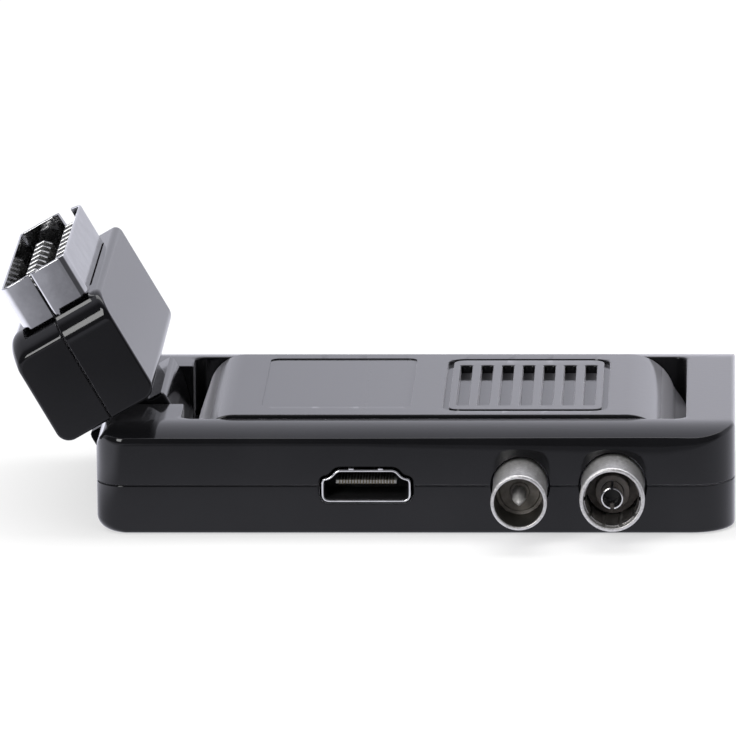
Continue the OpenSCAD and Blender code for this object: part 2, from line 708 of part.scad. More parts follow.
// Right half of the head shell, with the screw bosses
module head_shell_right() color(gloss_black) on_swivel() difference() {
    intersection() {
        head_form();
        block([split_x, -head_d, 0], [head_t, head_d, 2 * head_z1]);
    }
    difference() {
        head_hollow();
        at_head_screws() translate([0, 0, split_x - 0.2]) cylinder(r = 2.2, h = head_t);
    }
    at_head_screws() translate([0, 0, split_x - 1]) cylinder(r = 1.02, h = 7);
    difference() {
        block([split_x - 1, -head_d, 0], [split_x + 0.25, head_d, 2 * head_z1]);
        along_x(-head_t, head_t) round_rect([0.4 - head_d / 2, head_z0 + 0.4],
            [head_d / 2 - 0.4, head_z1 - 0.4], [0.3, 0.3, end_brow_r - 0.4, end_brow_r - 0.4]);
    }
}

// Two screws that hold the head halves together
module head_screws() color("#8a8d90") on_swivel() at_head_screws() difference() {
    union() {
        translate([0, 0, -head_t / 2 + 0.8]) cylinder(r = 1.8, h = 1.2);
        translate([0, 0, -head_t / 2 + 0.8]) cylinder(r = 1, h = head_t / 2 + 4);
    }
    for (a = [0, 90]) rotate([0, 0, a]) translate([-1.1, -0.2, -head_t / 2]) cube([2.2, 0.4, 1.4]);
}

// Small board behind the contacts
module head_board() color("#1f5a35") on_swivel()
    block([shield_x - shield_w / 2 + 0.2, 2.5 - shield_l / 2, head_board_z - head_board_t],
        [shield_x + shield_w / 2 - 0.2, shield_l / 2 - 2.5, head_board_z]);

// Wires from the hinge to the small board
module head_wires() color("#6d6f78") on_swivel() translate([0, head_wire_r, -head_wire_r])
    cylinder(r = head_wire_r, h = head_board_z - head_board_t + head_wire_r);

// Outline of the plug shield in (X, Y) with its cut corner and rounded bends, shrunk by g
module shield_plan(g) {
    w = shield_w / 2 - g;
    l = shield_l / 2 - g;
    c = g * 0.4;
    r = 1.1 - g;
    translate([shield_x, 0]) intersection() {
        round_rect([-w, -l], [w, l], [r, r, r, r]);
        polygon([[-w - 1, -l - 1], [w + 1, -l - 1], [w + 1, l - shield_cut[1] + c - shield_cut[1] / shield_cut[0]],
            [w, l - shield_cut[1] + c], [w - shield_cut[0] + c, l],
            [w - shield_cut[0] + c - shield_cut[0] / shield_cut[1], l + 1], [-w - 1, l + 1]]);
    }
}

// Sheet-metal shield round the contacts, with a notch in the wall across its cut corner
module plug_shield() color("#c4c5c8") on_swivel() difference() {
    translate([0, 0, shield_z0]) linear_extrude(shield_z1 - shield_z0) shield_plan(0);
    translate([0, 0, shield_z0 - 1]) linear_extrude(shield_z1 - shield_z0 + 2) shield_plan(shield_t);
    translate([shield_x + shield_w / 2, shield_l / 2 - shield_cut[1], shield_z1 - 3.4])
        rotate([0, 0, atan2(shield_cut[1], -shield_cut[0])]) translate([2.6, -1.5, 0]) cube([3.7, 3, 5]);
}

// Positions of the twenty contacts: two rows, staggered by half a pitch
module at_contacts() {
    for (side = [-1, 1], i = [0:9])
        translate([shield_x + side * row_x, (i - 4.5) * contact_pitch + side * contact_pitch / 4, 0]) children();
}

// Insulating block that carries the contacts
module plug_block() color("#18181a") on_swivel() difference() {
    translate([0, 0, shield_z0]) linear_extrude(block_z1 - shield_z0) shield_plan(shield_t + 0.03);
    at_contacts() block([-contact_w / 2 - 0.02, -contact_t / 2 - 0.02, 0], [contact_w / 2 + 0.02, contact_t / 2 + 0.02, 2 * head_z1]);
}

// Twenty flat contacts with bevelled tips
module plug_contacts() color("#cfcfca") on_swivel() at_contacts() along_y(-contact_t / 2, contact_t / 2) {
    w = contact_w / 2;
    polygon([[-w, head_board_z], [w, head_board_z], [w, contact_z1 - 1.2], [w - 1.1, contact_z1],
        [1.1 - w, contact_z1], [-w, contact_z1 - 1.2]]);
}

bottom_case();
top_case();
top_cover();
case_screws();
circuit_board();
tuner_can();
main_chip();
heat_sink();
memory_chip();
capacitors();
crystal();
wire_socket();
case_wires();
hdmi_shell();
hdmi_tongue();
hdmi_contacts();
aerial_out_barrel();
aerial_out_insulator();
aerial_out_pin();
aerial_in_barrel();
aerial_in_spring();
aerial_in_insulator();
aerial_in_contact();
usb_shell();
usb_tongue();
power_jack();
power_pin();
infrared_jack();
hinge_pin();
hinge_trunnion();
friction_washers();
swivel_arm();
head_shell_left();
head_shell_right();
head_screws();
head_board();
head_wires();
plug_shield();
plug_block();
plug_contacts();
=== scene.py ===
from math import cos, radians, sin

import bmesh
import bpy
import numpy as np
from mathutils import Matrix


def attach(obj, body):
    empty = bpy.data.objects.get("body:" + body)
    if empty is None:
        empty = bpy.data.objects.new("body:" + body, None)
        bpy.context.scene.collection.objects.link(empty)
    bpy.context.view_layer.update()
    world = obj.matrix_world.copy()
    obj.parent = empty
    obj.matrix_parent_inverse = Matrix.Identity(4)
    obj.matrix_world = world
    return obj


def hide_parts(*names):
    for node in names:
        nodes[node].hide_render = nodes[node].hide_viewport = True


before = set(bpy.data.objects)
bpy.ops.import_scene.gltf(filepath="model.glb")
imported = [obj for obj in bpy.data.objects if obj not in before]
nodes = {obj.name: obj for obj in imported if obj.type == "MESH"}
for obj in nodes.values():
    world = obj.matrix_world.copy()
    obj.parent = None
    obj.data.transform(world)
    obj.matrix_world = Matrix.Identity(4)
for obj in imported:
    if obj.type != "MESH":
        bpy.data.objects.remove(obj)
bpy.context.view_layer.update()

# ---------------------------------------------------------------------------------------------------------------------
# Lower half of the case: a tray of gloss black ABS, injection moulded in one shot, with a rounded foot all round.
# It carries the board on four posts and the hinge in two cheeks, and four screws from below pull the halves together.
MM = 0.001
CASE_LO, CASE_HI, CASE_CORNERS = (-54.0, -32.0), (54.0, 32.0), (5.0, 7.5, 3.0, 3.0)
FRONT_Y, BACK_Y = CASE_LO[1], CASE_HI[1]
SEAM_Z = 8.2
SIDE_POINTS = 40
FOOT_R, FOOT_GAIN, HINGE_END = 0.7, 1.7, 5
UNDERSIDE = 2.75
HINGE_X, HINGE_Z = -45.85, 9.25
SLOT_R, SLOT_Y = 6.5, (-12, 17)
CHEEK_X, CHEEK_Y, CHEEK_Z = (-53, -37.85), (-16, 21), (1, 8.19)
VIDEO_X, OUTLET_X, INLET_X, AERIAL_Z = -8.2, 17.8, 33.4, 8.25
OUTLET_R, INLET_R = 4.75, 5.5
POWER_X, INFRARED_X, JACK_Z = 6.0, 22.0, 9.5
SCREW_R, SCREWS = 1.35, ((-49.6, -25.5), (-49.6, 25.5), (48.8, -25.2), (48.8, 26.8))


def linked(name, data):
    """A new object for a mesh, a lamp or a camera, put in the scene."""
    piece = bpy.data.objects.new(name, data)
    bpy.context.scene.collection.objects.link(piece)
    return piece


def loft(name, rings, wrap=False):
    """Skin over rings[i, j], point j of ring i in millimetres. Every ring closes on itself; the first and the last
    ring are filled, or joined to each other when wrap is true."""
    n, m = rings.shape[:2]
    i = np.arange(n if wrap else n - 1)[:, None]
    j = np.arange(m)[None, :]
    beside, above = (j + 1) % m, (i + 1) % n
    quads = np.stack([i * m + j, i * m + beside, above * m + beside, above * m + j], -1).reshape(-1, 4)
    ends = [] if wrap else [list(range(m)), list(range((n - 1) * m, n * m))]
    mesh = bpy.data.meshes.new(name)
    mesh.from_pydata((rings.reshape(-1, 3) * MM).tolist(), [], quads.tolist() + ends)
    grown = bmesh.new()
    grown.from_mesh(mesh)
    bmesh.ops.remove_doubles(grown, verts=grown.verts, dist=1e-7)
    bmesh.ops.recalc_face_normals(grown, faces=grown.faces)
    grown.to_mesh(mesh)
    grown.free()
    return linked(name, mesh)


def carve(piece, *tools, way="DIFFERENCE"):
    """Takes each tool's solid out of the piece, or adds it, one after the other. The tools are used up."""
    for tool in tools:
        step = piece.modifiers.new("carve", "BOOLEAN")
        step.operation, step.solver, step.object = way, "EXACT", tool
        graph = bpy.context.evaluated_depsgraph_get()
        made = bpy.data.meshes.new_from_object(piece.evaluated_get(graph))
        piece.modifiers.clear()
        worn, piece.data = piece.data, made
        bpy.data.meshes.remove(worn)
        bpy.data.meshes.remove(tool.data)


def dress(piece, finish, slot, body, *replaced, sharp=38):
    """Shading that runs smoothly over rounds and breaks at edges sharper than the angle, then finish and place."""
    mesh = piece.data
    mesh.polygons.foreach_set("use_smooth", np.ones(len(mesh.polygons), dtype=bool))
    mesh.set_sharp_from_angle(angle=radians(sharp))
    piece.modifiers.new("even_flats", "WEIGHTED_NORMAL").keep_sharp = True
    mesh.materials.clear()
    mesh.materials.append(finish)
    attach(piece, body)
    if replaced:
        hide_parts(*replaced)


def plan(lo, hi, radii, inset=0.0, arc=12, side=SIDE_POINTS):
    """Outline of a rectangle with round corners, anticlockwise from its front left corner: four quarter circles of
    arc points with the same number of points on each side between them, so two plans pair point by point."""
    lo, hi = np.array(lo) + inset, np.array(hi) - inset
    r = np.maximum(np.array(radii, dtype=float) - inset, 0.05)
    centre = np.array([[lo[0] + r[0], lo[1] + r[0]], [hi[0] - r[1], lo[1] + r[1]],
                       [hi[0] - r[2], hi[1] - r[2]], [lo[0] + r[3], hi[1] - r[3]]])
    turn = np.radians(np.array([180, 270, 0, 90])[:, None] + np.linspace(0, 90, arc))
    corner = centre[:, None] + r[:, None, None] * np.stack([np.cos(turn), np.sin(turn)], -1)
    start, end = corner[:, -1], np.roll(corner, -1, 0)[:, 0]
    t = np.linspace(0, 1, side + 2)[1:-1]
    sides = start[:, None] + (end - start)[:, None] * t[:, None]
    return np.concatenate([corner, sides], 1).reshape(-1, 2)


def rectangle(u0, u1, v0, v1):
    """The four corners of a plain rectangle, anticlockwise."""
    return np.array([(u0, v0), (u1, v0), (u1, v1), (u0, v1)])


def circle(u, v, r, n=96):
    """Round outline of n points about (u, v)."""
    turn = np.linspace(0, 2 * np.pi, n, endpoint=False)
    return np.column_stack([u + r * np.cos(turn), v + r * np.sin(turn)])


def grow(outline, by):
    """A closed outline moved outwards by a distance, each point along the normal of its two neighbours' chord."""
    ahead, behind = np.roll(outline, -1, 0), np.roll(outline, 1, 0)
    area = np.sum(outline[:, 0] * ahead[:, 1] - outline[:, 1] * ahead[:, 0])
    chord = ahead - behind
    normal = np.stack([chord[:, 1], -chord[:, 0]], -1) / np.linalg.norm(chord, axis=1)[:, None]
    return outline + np.sign(area) * by * normal


def soften(corners, radius, n):
    """Closed outline with every corner rounded by a parabola of n points that starts the given distance before it."""
    corners = np.array(corners, dtype=float)
    before, after = np.roll(corners, 1, 0) - corners, np.roll(corners, -1, 0) - corners
    length = np.linalg.norm([before, after], axis=2)[..., None]
    a, b = corners + np.array([before, after]) / length * np.minimum(radius, length * 0.49)
    t = np.linspace(0, 1, n)[:, None, None]
    return ((1 - t) ** 2 * a + 2 * t * (1 - t) * corners + t ** 2 * b).transpose(1, 0, 2).reshape(-1, 2)


def along_z(outline, stations):
    """Rings of an (X, Y) outline carried along Z: stations lists (z, how far the outline is grown there)."""
    grown = [grow(outline, by) if by else outline for _, by in stations]
    return np.stack([np.column_stack([g, np.full(len(g), z)]) for (z, _), g in zip(stations, grown)])


def along_y(outline, stations):
    """Rings of an (X, Z) outline carried along Y: stations lists (y, how far the outline is grown there)."""
    return along_z(outline, stations)[..., [0, 2, 1]]


VIDEO_SHAPE = soften([(-7.55, 5.5), (7.55, 5.5), (7.55, 9.5), (6.2, 9.72), (4.95, 11.1),
                      (-4.95, 11.1), (-6.2, 9.72), (-7.55, 9.5)],
                     np.array([[1.45], [1.45], [0.95], [0.7], [0.75], [0.75], [0.7], [0.95]]), 8) + (VIDEO_X, 0)


def socket_cutters():
    """Solids of the six openings that the two case halves share along the seam, with a small lead-in outside. A mouth
    lists (depth behind the wall's face, how far the opening is grown there)."""
    recess = [(-1.5, 0.55), (0, 0.55), (0.15, 0.4), (3, 0.4)]
    funnel = [(-1.5, 0.3), (0, 0.3), (1.1, 0.38), (1.8, -0.1), (3, -0.1)]
    chamfer = [(-1.5, 0.12), (0, 0.12), (0.12, 0), (3, 0)]
    data = plan((-24.9, 5.2), (-11.1, 11.6), (0.4,) * 4, arc=5, side=2)
    front = [(VIDEO_SHAPE, recess), (circle(OUTLET_X, AERIAL_Z, OUTLET_R), funnel),
             (circle(INLET_X, AERIAL_Z, INLET_R), funnel)]
    back = [(data, chamfer), (circle(POWER_X, JACK_Z, 3.9), chamfer), (circle(INFRARED_X, JACK_Z, 3.18), chamfer)]
    return [loft("cut", along_y(shape, [(wall + way * depth, by) for depth, by in mouth]))
            for wall, way, openings in ((FRONT_Y, 1, front), (BACK_Y, -1, back)) for shape, mouth in openings]


def slot_cutter():
    """Solid in which the swivel arm turns: a quarter circle about the hinge, open to the left and top, with a floor
    that falls to the left for the arm's shoulder."""
    left, top, floor_x, floor_z = -56, 26, -49.85, 1.35
    turn = np.radians(np.linspace(270, 360, 24))
    bowl = np.column_stack([HINGE_X + SLOT_R * np.cos(turn), HINGE_Z + SLOT_R * np.sin(turn)])
    outline = np.concatenate([[(left, floor_z), (floor_x, floor_z)], bowl, [(HINGE_X + SLOT_R, top), (left, top)]])
    return loft("cut", along_y(outline, [(y, 0) for y in SLOT_Y]))


def feed(tree, node, *ordered, **named):
    """Fills a shader node's sockets, by their order and by name: an output is linked, a constant is stored."""
    by_name = {name.replace("_", " "): value for name, value in named.items()}
    for key, value in [*enumerate(ordered), *by_name.items()]:
        if isinstance(value, bpy.types.NodeSocket):
            tree.links.new(value, node.inputs[key])
        else:
            node.inputs[key].default_value = value
    return node


def add(tree, kind, *ordered, **named):
    """A new shader node of a kind, with its sockets filled."""
    return feed(tree, tree.nodes.new(f"ShaderNode{kind}"), *ordered, **named)


def spread(tree, value, source, target, smooth=False):
    """A node output carried from one range to another, straight or along a smooth step."""
    node = add(tree, "MapRange", value, *source, *target)
    node.interpolation_type = "SMOOTHSTEP" if smooth else "LINEAR"
    return node.outputs["Result"]


def maths(tree, operation, a, b):
    """Sum, product or the larger of two node outputs."""
    node = add(tree, "Math", a, b)
    node.operation = operation
    return node.outputs["Value"]


def ramp(tree, value, *stops):
    """Colour ramp over a node output: stops lists (position, colour with alpha)."""
    node = add(tree, "ValToRGB", value)
    for _ in stops[2:]:
        node.color_ramp.elements.new(0.5)
    for element, (position, colour) in zip(node.color_ramp.elements, stops):
        element.position, element.color = position, colour
    return node.outputs


def new_finish(name):
    """A material, its node tree and the shader of its surface."""
    finish = bpy.data.materials.new(name)
    finish.use_nodes = True
    return finish, finish.node_tree, finish.node_tree.nodes["Principled BSDF"]


def gloss_black(name, peel=0.012, sheen_and_grey=((-0.045, 0.12, 0), (0.05, 1.0, 0)), deep=None):
    """Moulded gloss black: near-black colour, a polished skin whose roughness wanders a little with handling, the
    faint waviness of the tool, and a painted sheen at low angles, its weight set along X: painted light that
    stands in for how strongly the light falls there. The stops along X list (X in metres, sheen weight, grey),
    where grey is the share of light grey painted into the colour, also painted light, and the roughness added
    there. Deep gives the two heights between which the reflection rises from a trace to full: the trace below is
    painted shade in a deep recess."""
    finish, tree, skin = new_finish(name)
    place = add(tree, "TexCoord").outputs["Object"]
    split = add(tree, "SeparateXYZ", place).outputs
    cloud = add(tree, "TexNoise", Vector=place, Scale=60, Detail=5).outputs["Fac"]
    fine = add(tree, "TexNoise", Vector=place, Scale=900, Detail=3).outputs["Fac"]
    tint = ramp(tree, cloud, (0.35, (0.0042, 0.0042, 0.0049, 1)), (0.7, (0.0068, 0.0068, 0.0078, 1)))
    first, last = sheen_and_grey[0][0], sheen_and_grey[-1][0]
    across = spread(tree, split["X"], (first, last), (0, 1))
    # Painted light: this ramp gives the sheen weight and the grey share at each X.
    painted_light_ramp = ramp(tree, across, *(((x - first) / (last - first), (thick, thick, thick, grey_and_rough))
                                for x, thick, grey_and_rough in sheen_and_grey))
    # Light grey painted into the colour by the ramp's alpha: painted light.
    painted_grey = add(tree, "MixRGB", painted_light_ramp["Alpha"], tint["Color"], (0.17, 0.17, 0.18, 1))
    polish = spread(tree, cloud, (0.3, 0.75), (0.05, 0.1))
    bump = add(tree, "Bump", Strength=peel, Distance=0.0004, Height=fine)
    feed(tree, skin, Base_Color=painted_grey.outputs["Color"], Roughness=maths(tree, "ADD", polish, painted_light_ramp["Alpha"]),
         IOR=1.39, Normal=bump.outputs["Normal"],
         Sheen_Weight=painted_light_ramp["Color"], Sheen_Roughness=0.3, Sheen_Tint=(0.92, 0.91, 1.0, 1))
    # Painted shade: the reflection is cut to a trace below the deep heights.
    if deep:
        feed(tree, skin, Specular_IOR_Level=spread(tree, split["Z"], deep, (0.03, 0.5)))
    return finish


# Painted light: on the case the sheen grows from left to right.
case_black = gloss_black("case_gloss_black")
rim = plan(CASE_LO, CASE_HI, CASE_CORNERS)
outward = rim - plan(CASE_LO, CASE_HI, CASE_CORNERS, 1.0)
foot = FOOT_R + FOOT_GAIN * np.clip((CASE_LO[0] + HINGE_END - rim[:, 0]) / HINGE_END, 0, 1)
bend = np.radians(np.linspace(0, 90, 9))[:, None]
# The wall from the floor inside, over the seam and down its outside, as (inset, z).
wall = np.array([(2.7, 2.0), (2.3, 2.0), (2.0, 2.3), (2.0, SEAM_Z), (0.16, SEAM_Z), (0.05, 8.15), (0, 8.04),
                 (0, 6.0), (0, 4.0)])
steps_in = np.concatenate([wall[:, :1] + 0 * foot, foot * (1 - np.cos(bend)), UNDERSIDE + 0 * foot[None]])
heights = np.concatenate([wall[:, 1:] + 0 * foot, foot * (1 - np.sin(bend)), 0 * foot[None]])
tray = loft("lower_case", np.concatenate([rim[None] - outward[None] * steps_in[..., None], heights[..., None]], -1))
carve(tray, loft("cut", along_y(rectangle(*CHEEK_X, *CHEEK_Z), [(y, 0) for y in CHEEK_Y])), way="UNION")
screw_well = [(-1, 1.1), (0, 1.1), (0.15, 0.95), (1.5, 0.95), (1.5, 0), (9, 0)]
screw_wells = [loft("cut", along_z(circle(x, y, SCREW_R, 48), screw_well)) for x, y in SCREWS]
carve(tray, slot_cutter(), *socket_cutters(), *screw_wells)
dress(tray, case_black, "gloss_black", "case", "bottom_case")

# ---------------------------------------------------------------------------------------------------------------------
# Main board and what is soldered to it: glass-fibre board under green solder mask, moulded chips, a finned aluminium
# heat sink, sleeved capacitors, a crystal in its tin can and the tuner in its folded tin-plate box.


def speckled(name, dark, light, scale, rough, metal, grain):
    """A finish whose colour runs between two tones on fractal noise, with roughness and a fine grain from the same
    noise."""
    finish, tree, skin = new_finish(name)
    place = add(tree, "TexCoord").outputs["Object"]
    noise = add(tree, "TexNoise", Vector=place, Scale=scale, Detail=6, Roughness=0.62).outputs["Fac"]
    tint = ramp(tree, noise, (0.32, (*dark, 1)), (0.68, (*light, 1)))
    bump = add(tree, "Bump", Strength=grain, Distance=0.0001, Height=noise)
    feed(tree, skin, Base_Color=tint["Color"], Roughness=spread(tree, noise, (0.3, 0.7), rough), Metallic=metal,
         Normal=bump.outputs["Normal"])
    return finish


def paint(finish, *names):
    """Puts a finish on CAD nodes whose shape is already right."""
    for name in names:
        for slot in nodes[name].material_slots:
            slot.material = finish


solder_mask = speckled("green_solder_mask", (0.008, 0.06, 0.025), (0.02, 0.12, 0.05), 700, (0.25, 0.45), 0.0, 0.2)
chip_black = speckled("chip_compound", (0.012, 0.012, 0.012), (0.03, 0.03, 0.03), 2500, (0.5, 0.7), 0.0, 0.3)
sink_grey = speckled("blasted_aluminium", (0.42, 0.43, 0.45), (0.6, 0.61, 0.63), 1800, (0.35, 0.5), 1.0, 0.2)
tin_plate = speckled("tin_plate", (0.5, 0.51, 0.52), (0.68, 0.69, 0.7), 400, (0.2, 0.35), 1.0, 0.08)
sleeve = speckled("capacitor_sleeve", (0.01, 0.012, 0.03), (0.02, 0.024, 0.05), 600, (0.25, 0.4), 0.0, 0.05)
ivory = speckled("ivory_nylon", (0.55, 0.52, 0.44), (0.68, 0.65, 0.57), 500, (0.35, 0.5), 0.0, 0.05)
wire_grey = speckled("wire_sheath", (0.08, 0.08, 0.095), (0.14, 0.14, 0.16), 500, (0.45, 0.6), 0.0, 0.1)
paint(solder_mask, "circuit_board", "head_board")
paint(chip_black, "main_chip", "memory_chip")
paint(sink_grey, "heat_sink")
paint(tin_plate, "tuner_can", "crystal")
paint(sleeve, "capacitors")
paint(ivory, "wire_socket")
paint(wire_grey, "case_wires", "head_wires")

# ---------------------------------------------------------------------------------------------------------------------
# Video socket in the front: a shell folded from nickel-plated steel sheet, narrow side up, with a rolled lip and two
# spring tabs on its top; a black lining inside it that is painted shade, and a nylon tongue with nineteen contact
# strips that reach its tip, their gold darkened as painted shade.
STRIP_COUNT, STRIP_PITCH = 19, 0.5
bright_nickel = speckled("bright_nickel", (0.68, 0.675, 0.665), (0.82, 0.815, 0.8), 700, (0.1, 0.2), 1.0, 0.03)
jack_black = speckled("jack_nylon", (0.006, 0.006, 0.0065), (0.014, 0.014, 0.015), 800, (0.5, 0.7), 0.0, 0.1)
tongue_grey = speckled("tongue_nylon", (0.2, 0.2, 0.2), (0.28, 0.28, 0.275), 600, (0.35, 0.5), 0.0, 0.06)
# Gold darkened far below its own tone: painted shade on the strips inside the socket.
gilt = speckled("gilt_painted_shade", (0.1, 0.085, 0.06), (0.17, 0.145, 0.1), 1500, (0.3, 0.45), 1.0, 0.04)


def joined(name, parts):
    """One piece out of several closed skins, which are used up."""
    whole = bmesh.new()
    for part in parts:
        whole.from_mesh(part.data)
        bpy.data.meshes.remove(part.data)
    mesh = bpy.data.meshes.new(name)
    whole.to_mesh(mesh)
    whole.free()
    return linked(name, mesh)


shell_lip = [(-21.3, 0), (-32.12, 0), (-32.24, -0.04), (-32.3, -0.12),
             (-32.3, -0.26), (-32.24, -0.34), (-32.12, -0.38), (-21.3, -0.38)]
video_shell = loft("video_shell", along_y(VIDEO_SHAPE, shell_lip), wrap=True)
dress(video_shell, bright_nickel, "nickel", "case", "hdmi_shell")
# Painted shade: a black sheet just inside the shell darkens the socket's interior.
shade_lining_lip = [(-22.6, -0.4), (-32.0, -0.4), (-32.06, -0.44), (-32.0, -0.5), (-22.9, -0.5)]
dress(loft("video_shade_lining", along_y(VIDEO_SHAPE, shade_lining_lip)), jack_black, "black_insulator", "case")
tab = soften(rectangle(-0.42, 0.42, 11.0, 11.28), 0.08, 4)
for side, x in (("left", -2.5), ("right", 2.45)):
    spring_tab = along_y(tab + (VIDEO_X + x, 0), [(-32.22, -0.06), (-32.16, 0), (-28.2, 0)])
    dress(loft(f"video_tab_{side}", spring_tab), bright_nickel, "nickel", "case")
tip = soften(rectangle(-5.15, 5.15, 8.38, 9.02), 0.12, 4) + (VIDEO_X, 0)
tongue = loft("video_tongue", along_y(tip, [(-30.8, -0.12), (-30.76, -0.04), (-30.68, 0), (-22.4, 0)]))
carve(tongue, loft("cut", along_y(VIDEO_SHAPE, [(-22.5, -0.5), (-21.5, -0.5)])), way="UNION")
dress(tongue, tongue_grey, "pale_insulator", "case", "hdmi_tongue")
strip = soften(rectangle(-0.13, 0.13, 8.3, 9.1), 0.05, 3)
strips = [loft("strip", along_y(strip + (VIDEO_X + x, 0), [(-30.84, -0.05), (-30.8, 0), (-22.6, 0)]))
          for x in STRIP_PITCH * (np.arange(STRIP_COUNT) - STRIP_COUNT // 2)]
dress(joined("video_strips", strips), gilt, "gilt", "case", "hdmi_contacts")

# ---------------------------------------------------------------------------------------------------------------------
# Aerial outlet: a barrel turned from brass and nickel plated, its mouth rounded over, a pressed insulating disc set
# back in it, and a pointed centre pin. The barrel is soldered to the tuner box through the front wall. A dark
# liner just inside the barrel's bore is painted shade.
ROOT_Y = -29.6
FACET_POWER, FACET_Y, FACET_RUN = 1.25, -40.4, 1.2


def about(x, r, y, turn):
    """Points at a radius, a depth and an angle about the line through (x, AERIAL_Z) along Y."""
    return np.stack([x + r * np.cos(turn), y + 0 * turn, AERIAL_Z + r * np.sin(turn)], -1)


def turned(name, x, profile):
    """Body of revolution about the line through (x, AERIAL_Z) along Y: profile is a closed loop of (radius, y)."""
    r, y = np.array(profile, dtype=float).T
    return loft(name, about(x, r[:, None], y[:, None], np.linspace(0, 2 * np.pi, 128, endpoint=False)), wrap=True)


barrel_nickel = speckled("barrel_nickel", (0.5, 0.49, 0.475), (0.78, 0.77, 0.75), 2200, (0.28, 0.46), 0.85, 0.35)
disc_brown = speckled("pressed_insulator", (0.2, 0.18, 0.16), (0.32, 0.29, 0.26), 900, (0.4, 0.6), 0.0, 0.15)
pin_satin = speckled("satin_pin", (0.5, 0.49, 0.475), (0.66, 0.65, 0.635), 1500, (0.5, 0.62), 0.35, 0.1)
# Dark metal for the painted shade inside the outlet barrel.
bore_shade = speckled("bore_painted_shade", (0.11, 0.108, 0.1), (0.2, 0.196, 0.185), 1400, (0.34, 0.5), 1.0, 0.15)
outlet = turned("aerial_outlet_barrel", OUTLET_X, [
    (4.6, ROOT_Y), (4.6, -42.9), (4.66, -43.1), (4.75, -43.25), (4.75, -43.9), (4.72, -44.1), (4.63, -44.24),
    (4.5, -44.3), (4.3, -44.3), (4.19, -44.26), (4.13, -44.15), (4.12, -44.0), (4.12, ROOT_Y)])
dress(outlet, barrel_nickel, "nickel", "case", "aerial_out_barrel")
# Painted shade: a dark liner just inside the barrel's bore.
outlet_shade_liner = turned("aerial_outlet_shade_liner", OUTLET_X, [
    (4.11, -35.8), (4.11, -43.85), (4.08, -43.9), (4.05, -43.85), (4.05, -35.8)])
dress(outlet_shade_liner, bore_shade, "nickel", "case")
outlet_disc = turned("aerial_outlet_disc", OUTLET_X, [
    (0.78, -36.3), (1.5, -36.3), (1.62, -36.2), (1.7, -35.9), (3.3, -35.75), (3.4, -35.5), (3.55, -35.4),
    (4.0, -35.6), (4.1, -35.5), (4.1, ROOT_Y), (0.78, ROOT_Y)])
dress(outlet_disc, disc_brown, "grey_insulator", "case", "aerial_out_insulator")
turn = np.linspace(0, 2 * np.pi, 64, endpoint=False)
squared = (np.abs(np.cos(turn)) ** FACET_POWER + np.abs(np.sin(turn)) ** FACET_POWER) ** (-1 / FACET_POWER)
pin_line = np.array([(0.75, ROOT_Y), (0.75, -36.3), (1.13, -36.35), (1.13, -41.6), (1.05, -42.0), (0.55, -43.1),
                     (0.3, -43.42), (0.1, -43.5)])
facet = np.clip((FACET_Y - pin_line[:, 1:]) / FACET_RUN, 0, 1)
reach = pin_line[:, :1] * (1 - facet + facet * squared)
pin = loft("aerial_outlet_pin", about(OUTLET_X, reach, pin_line[:, 1:], turn))
dress(pin, pin_satin, "nickel", "case", "aerial_out_pin")

# ---------------------------------------------------------------------------------------------------------------------
# Aerial inlet: a wider barrel of the same make with a ring of ten bowed spring fingers inside, an insulating sleeve
# with its foot, and a slotted centre contact that grips the plug's pin.
FINGER_COUNT, FINGER_POINTS, FINGER_HALF, FINGER_OUT, FINGER_IN = 10, 7, 14, 4.78, 4.62
sleeve_brown = speckled("sleeve_insulator", (0.1, 0.09, 0.082), (0.17, 0.15, 0.14), 900, (0.4, 0.6), 0.0, 0.1)
spring_dark = speckled("spring_bronze", (0.34, 0.33, 0.32), (0.5, 0.49, 0.475), 1200, (0.3, 0.45), 1.0, 0.1)
inlet = turned("aerial_inlet_barrel", INLET_X, [
    (5.35, ROOT_Y), (5.35, -40.9), (5.41, -41.1), (5.5, -41.25), (5.5, -41.85), (5.47, -42.06), (5.37, -42.23),
    (5.22, -42.3), (4.99, -42.3), (4.88, -42.26), (4.82, -42.15), (4.8, -42.0), (4.8, ROOT_Y)])
dress(inlet, barrel_nickel, "nickel", "case", "aerial_in_barrel")
inlet_sleeve = turned("aerial_inlet_sleeve", INLET_X, [
    (1.87, -36.2), (1.95, -36.3), (2.6, -36.3), (2.85, -36.2), (2.95, -35.95), (2.95, -33.2), (4.4, -33.0),
    (4.4, ROOT_Y), (1.87, ROOT_Y)])
dress(inlet_sleeve, sleeve_brown, "grey_insulator", "case", "aerial_in_insulator")
inlet_grip = turned("aerial_inlet_contact", INLET_X, [
    (1.64, -41.1), (1.74, -41.1), (1.82, -41.05), (1.85, -40.9), (1.85, ROOT_Y), (1.2, ROOT_Y), (1.2, -39.4),
    (1.5, -40.7), (1.58, -41.04)])
slits = [loft("cut", along_y(rectangle(-w, w, z0, z1) + (INLET_X, AERIAL_Z), [(-42.0, 0), (-35.0, 0)]))
         for w, z0, z1 in ((0.32, -2.4, -0.8), (0.2, 0.8, 2.4))]
carve(inlet_grip, *slits)
dress(inlet_grip, bright_nickel, "nickel", "case", "aerial_in_contact")
inlet_stop = turned("aerial_inlet_stop", INLET_X, [(0.02, -37.2), (1.18, -37.2), (1.18, ROOT_Y), (0.02, ROOT_Y)])
dress(inlet_stop, jack_black, "black_insulator", "case")
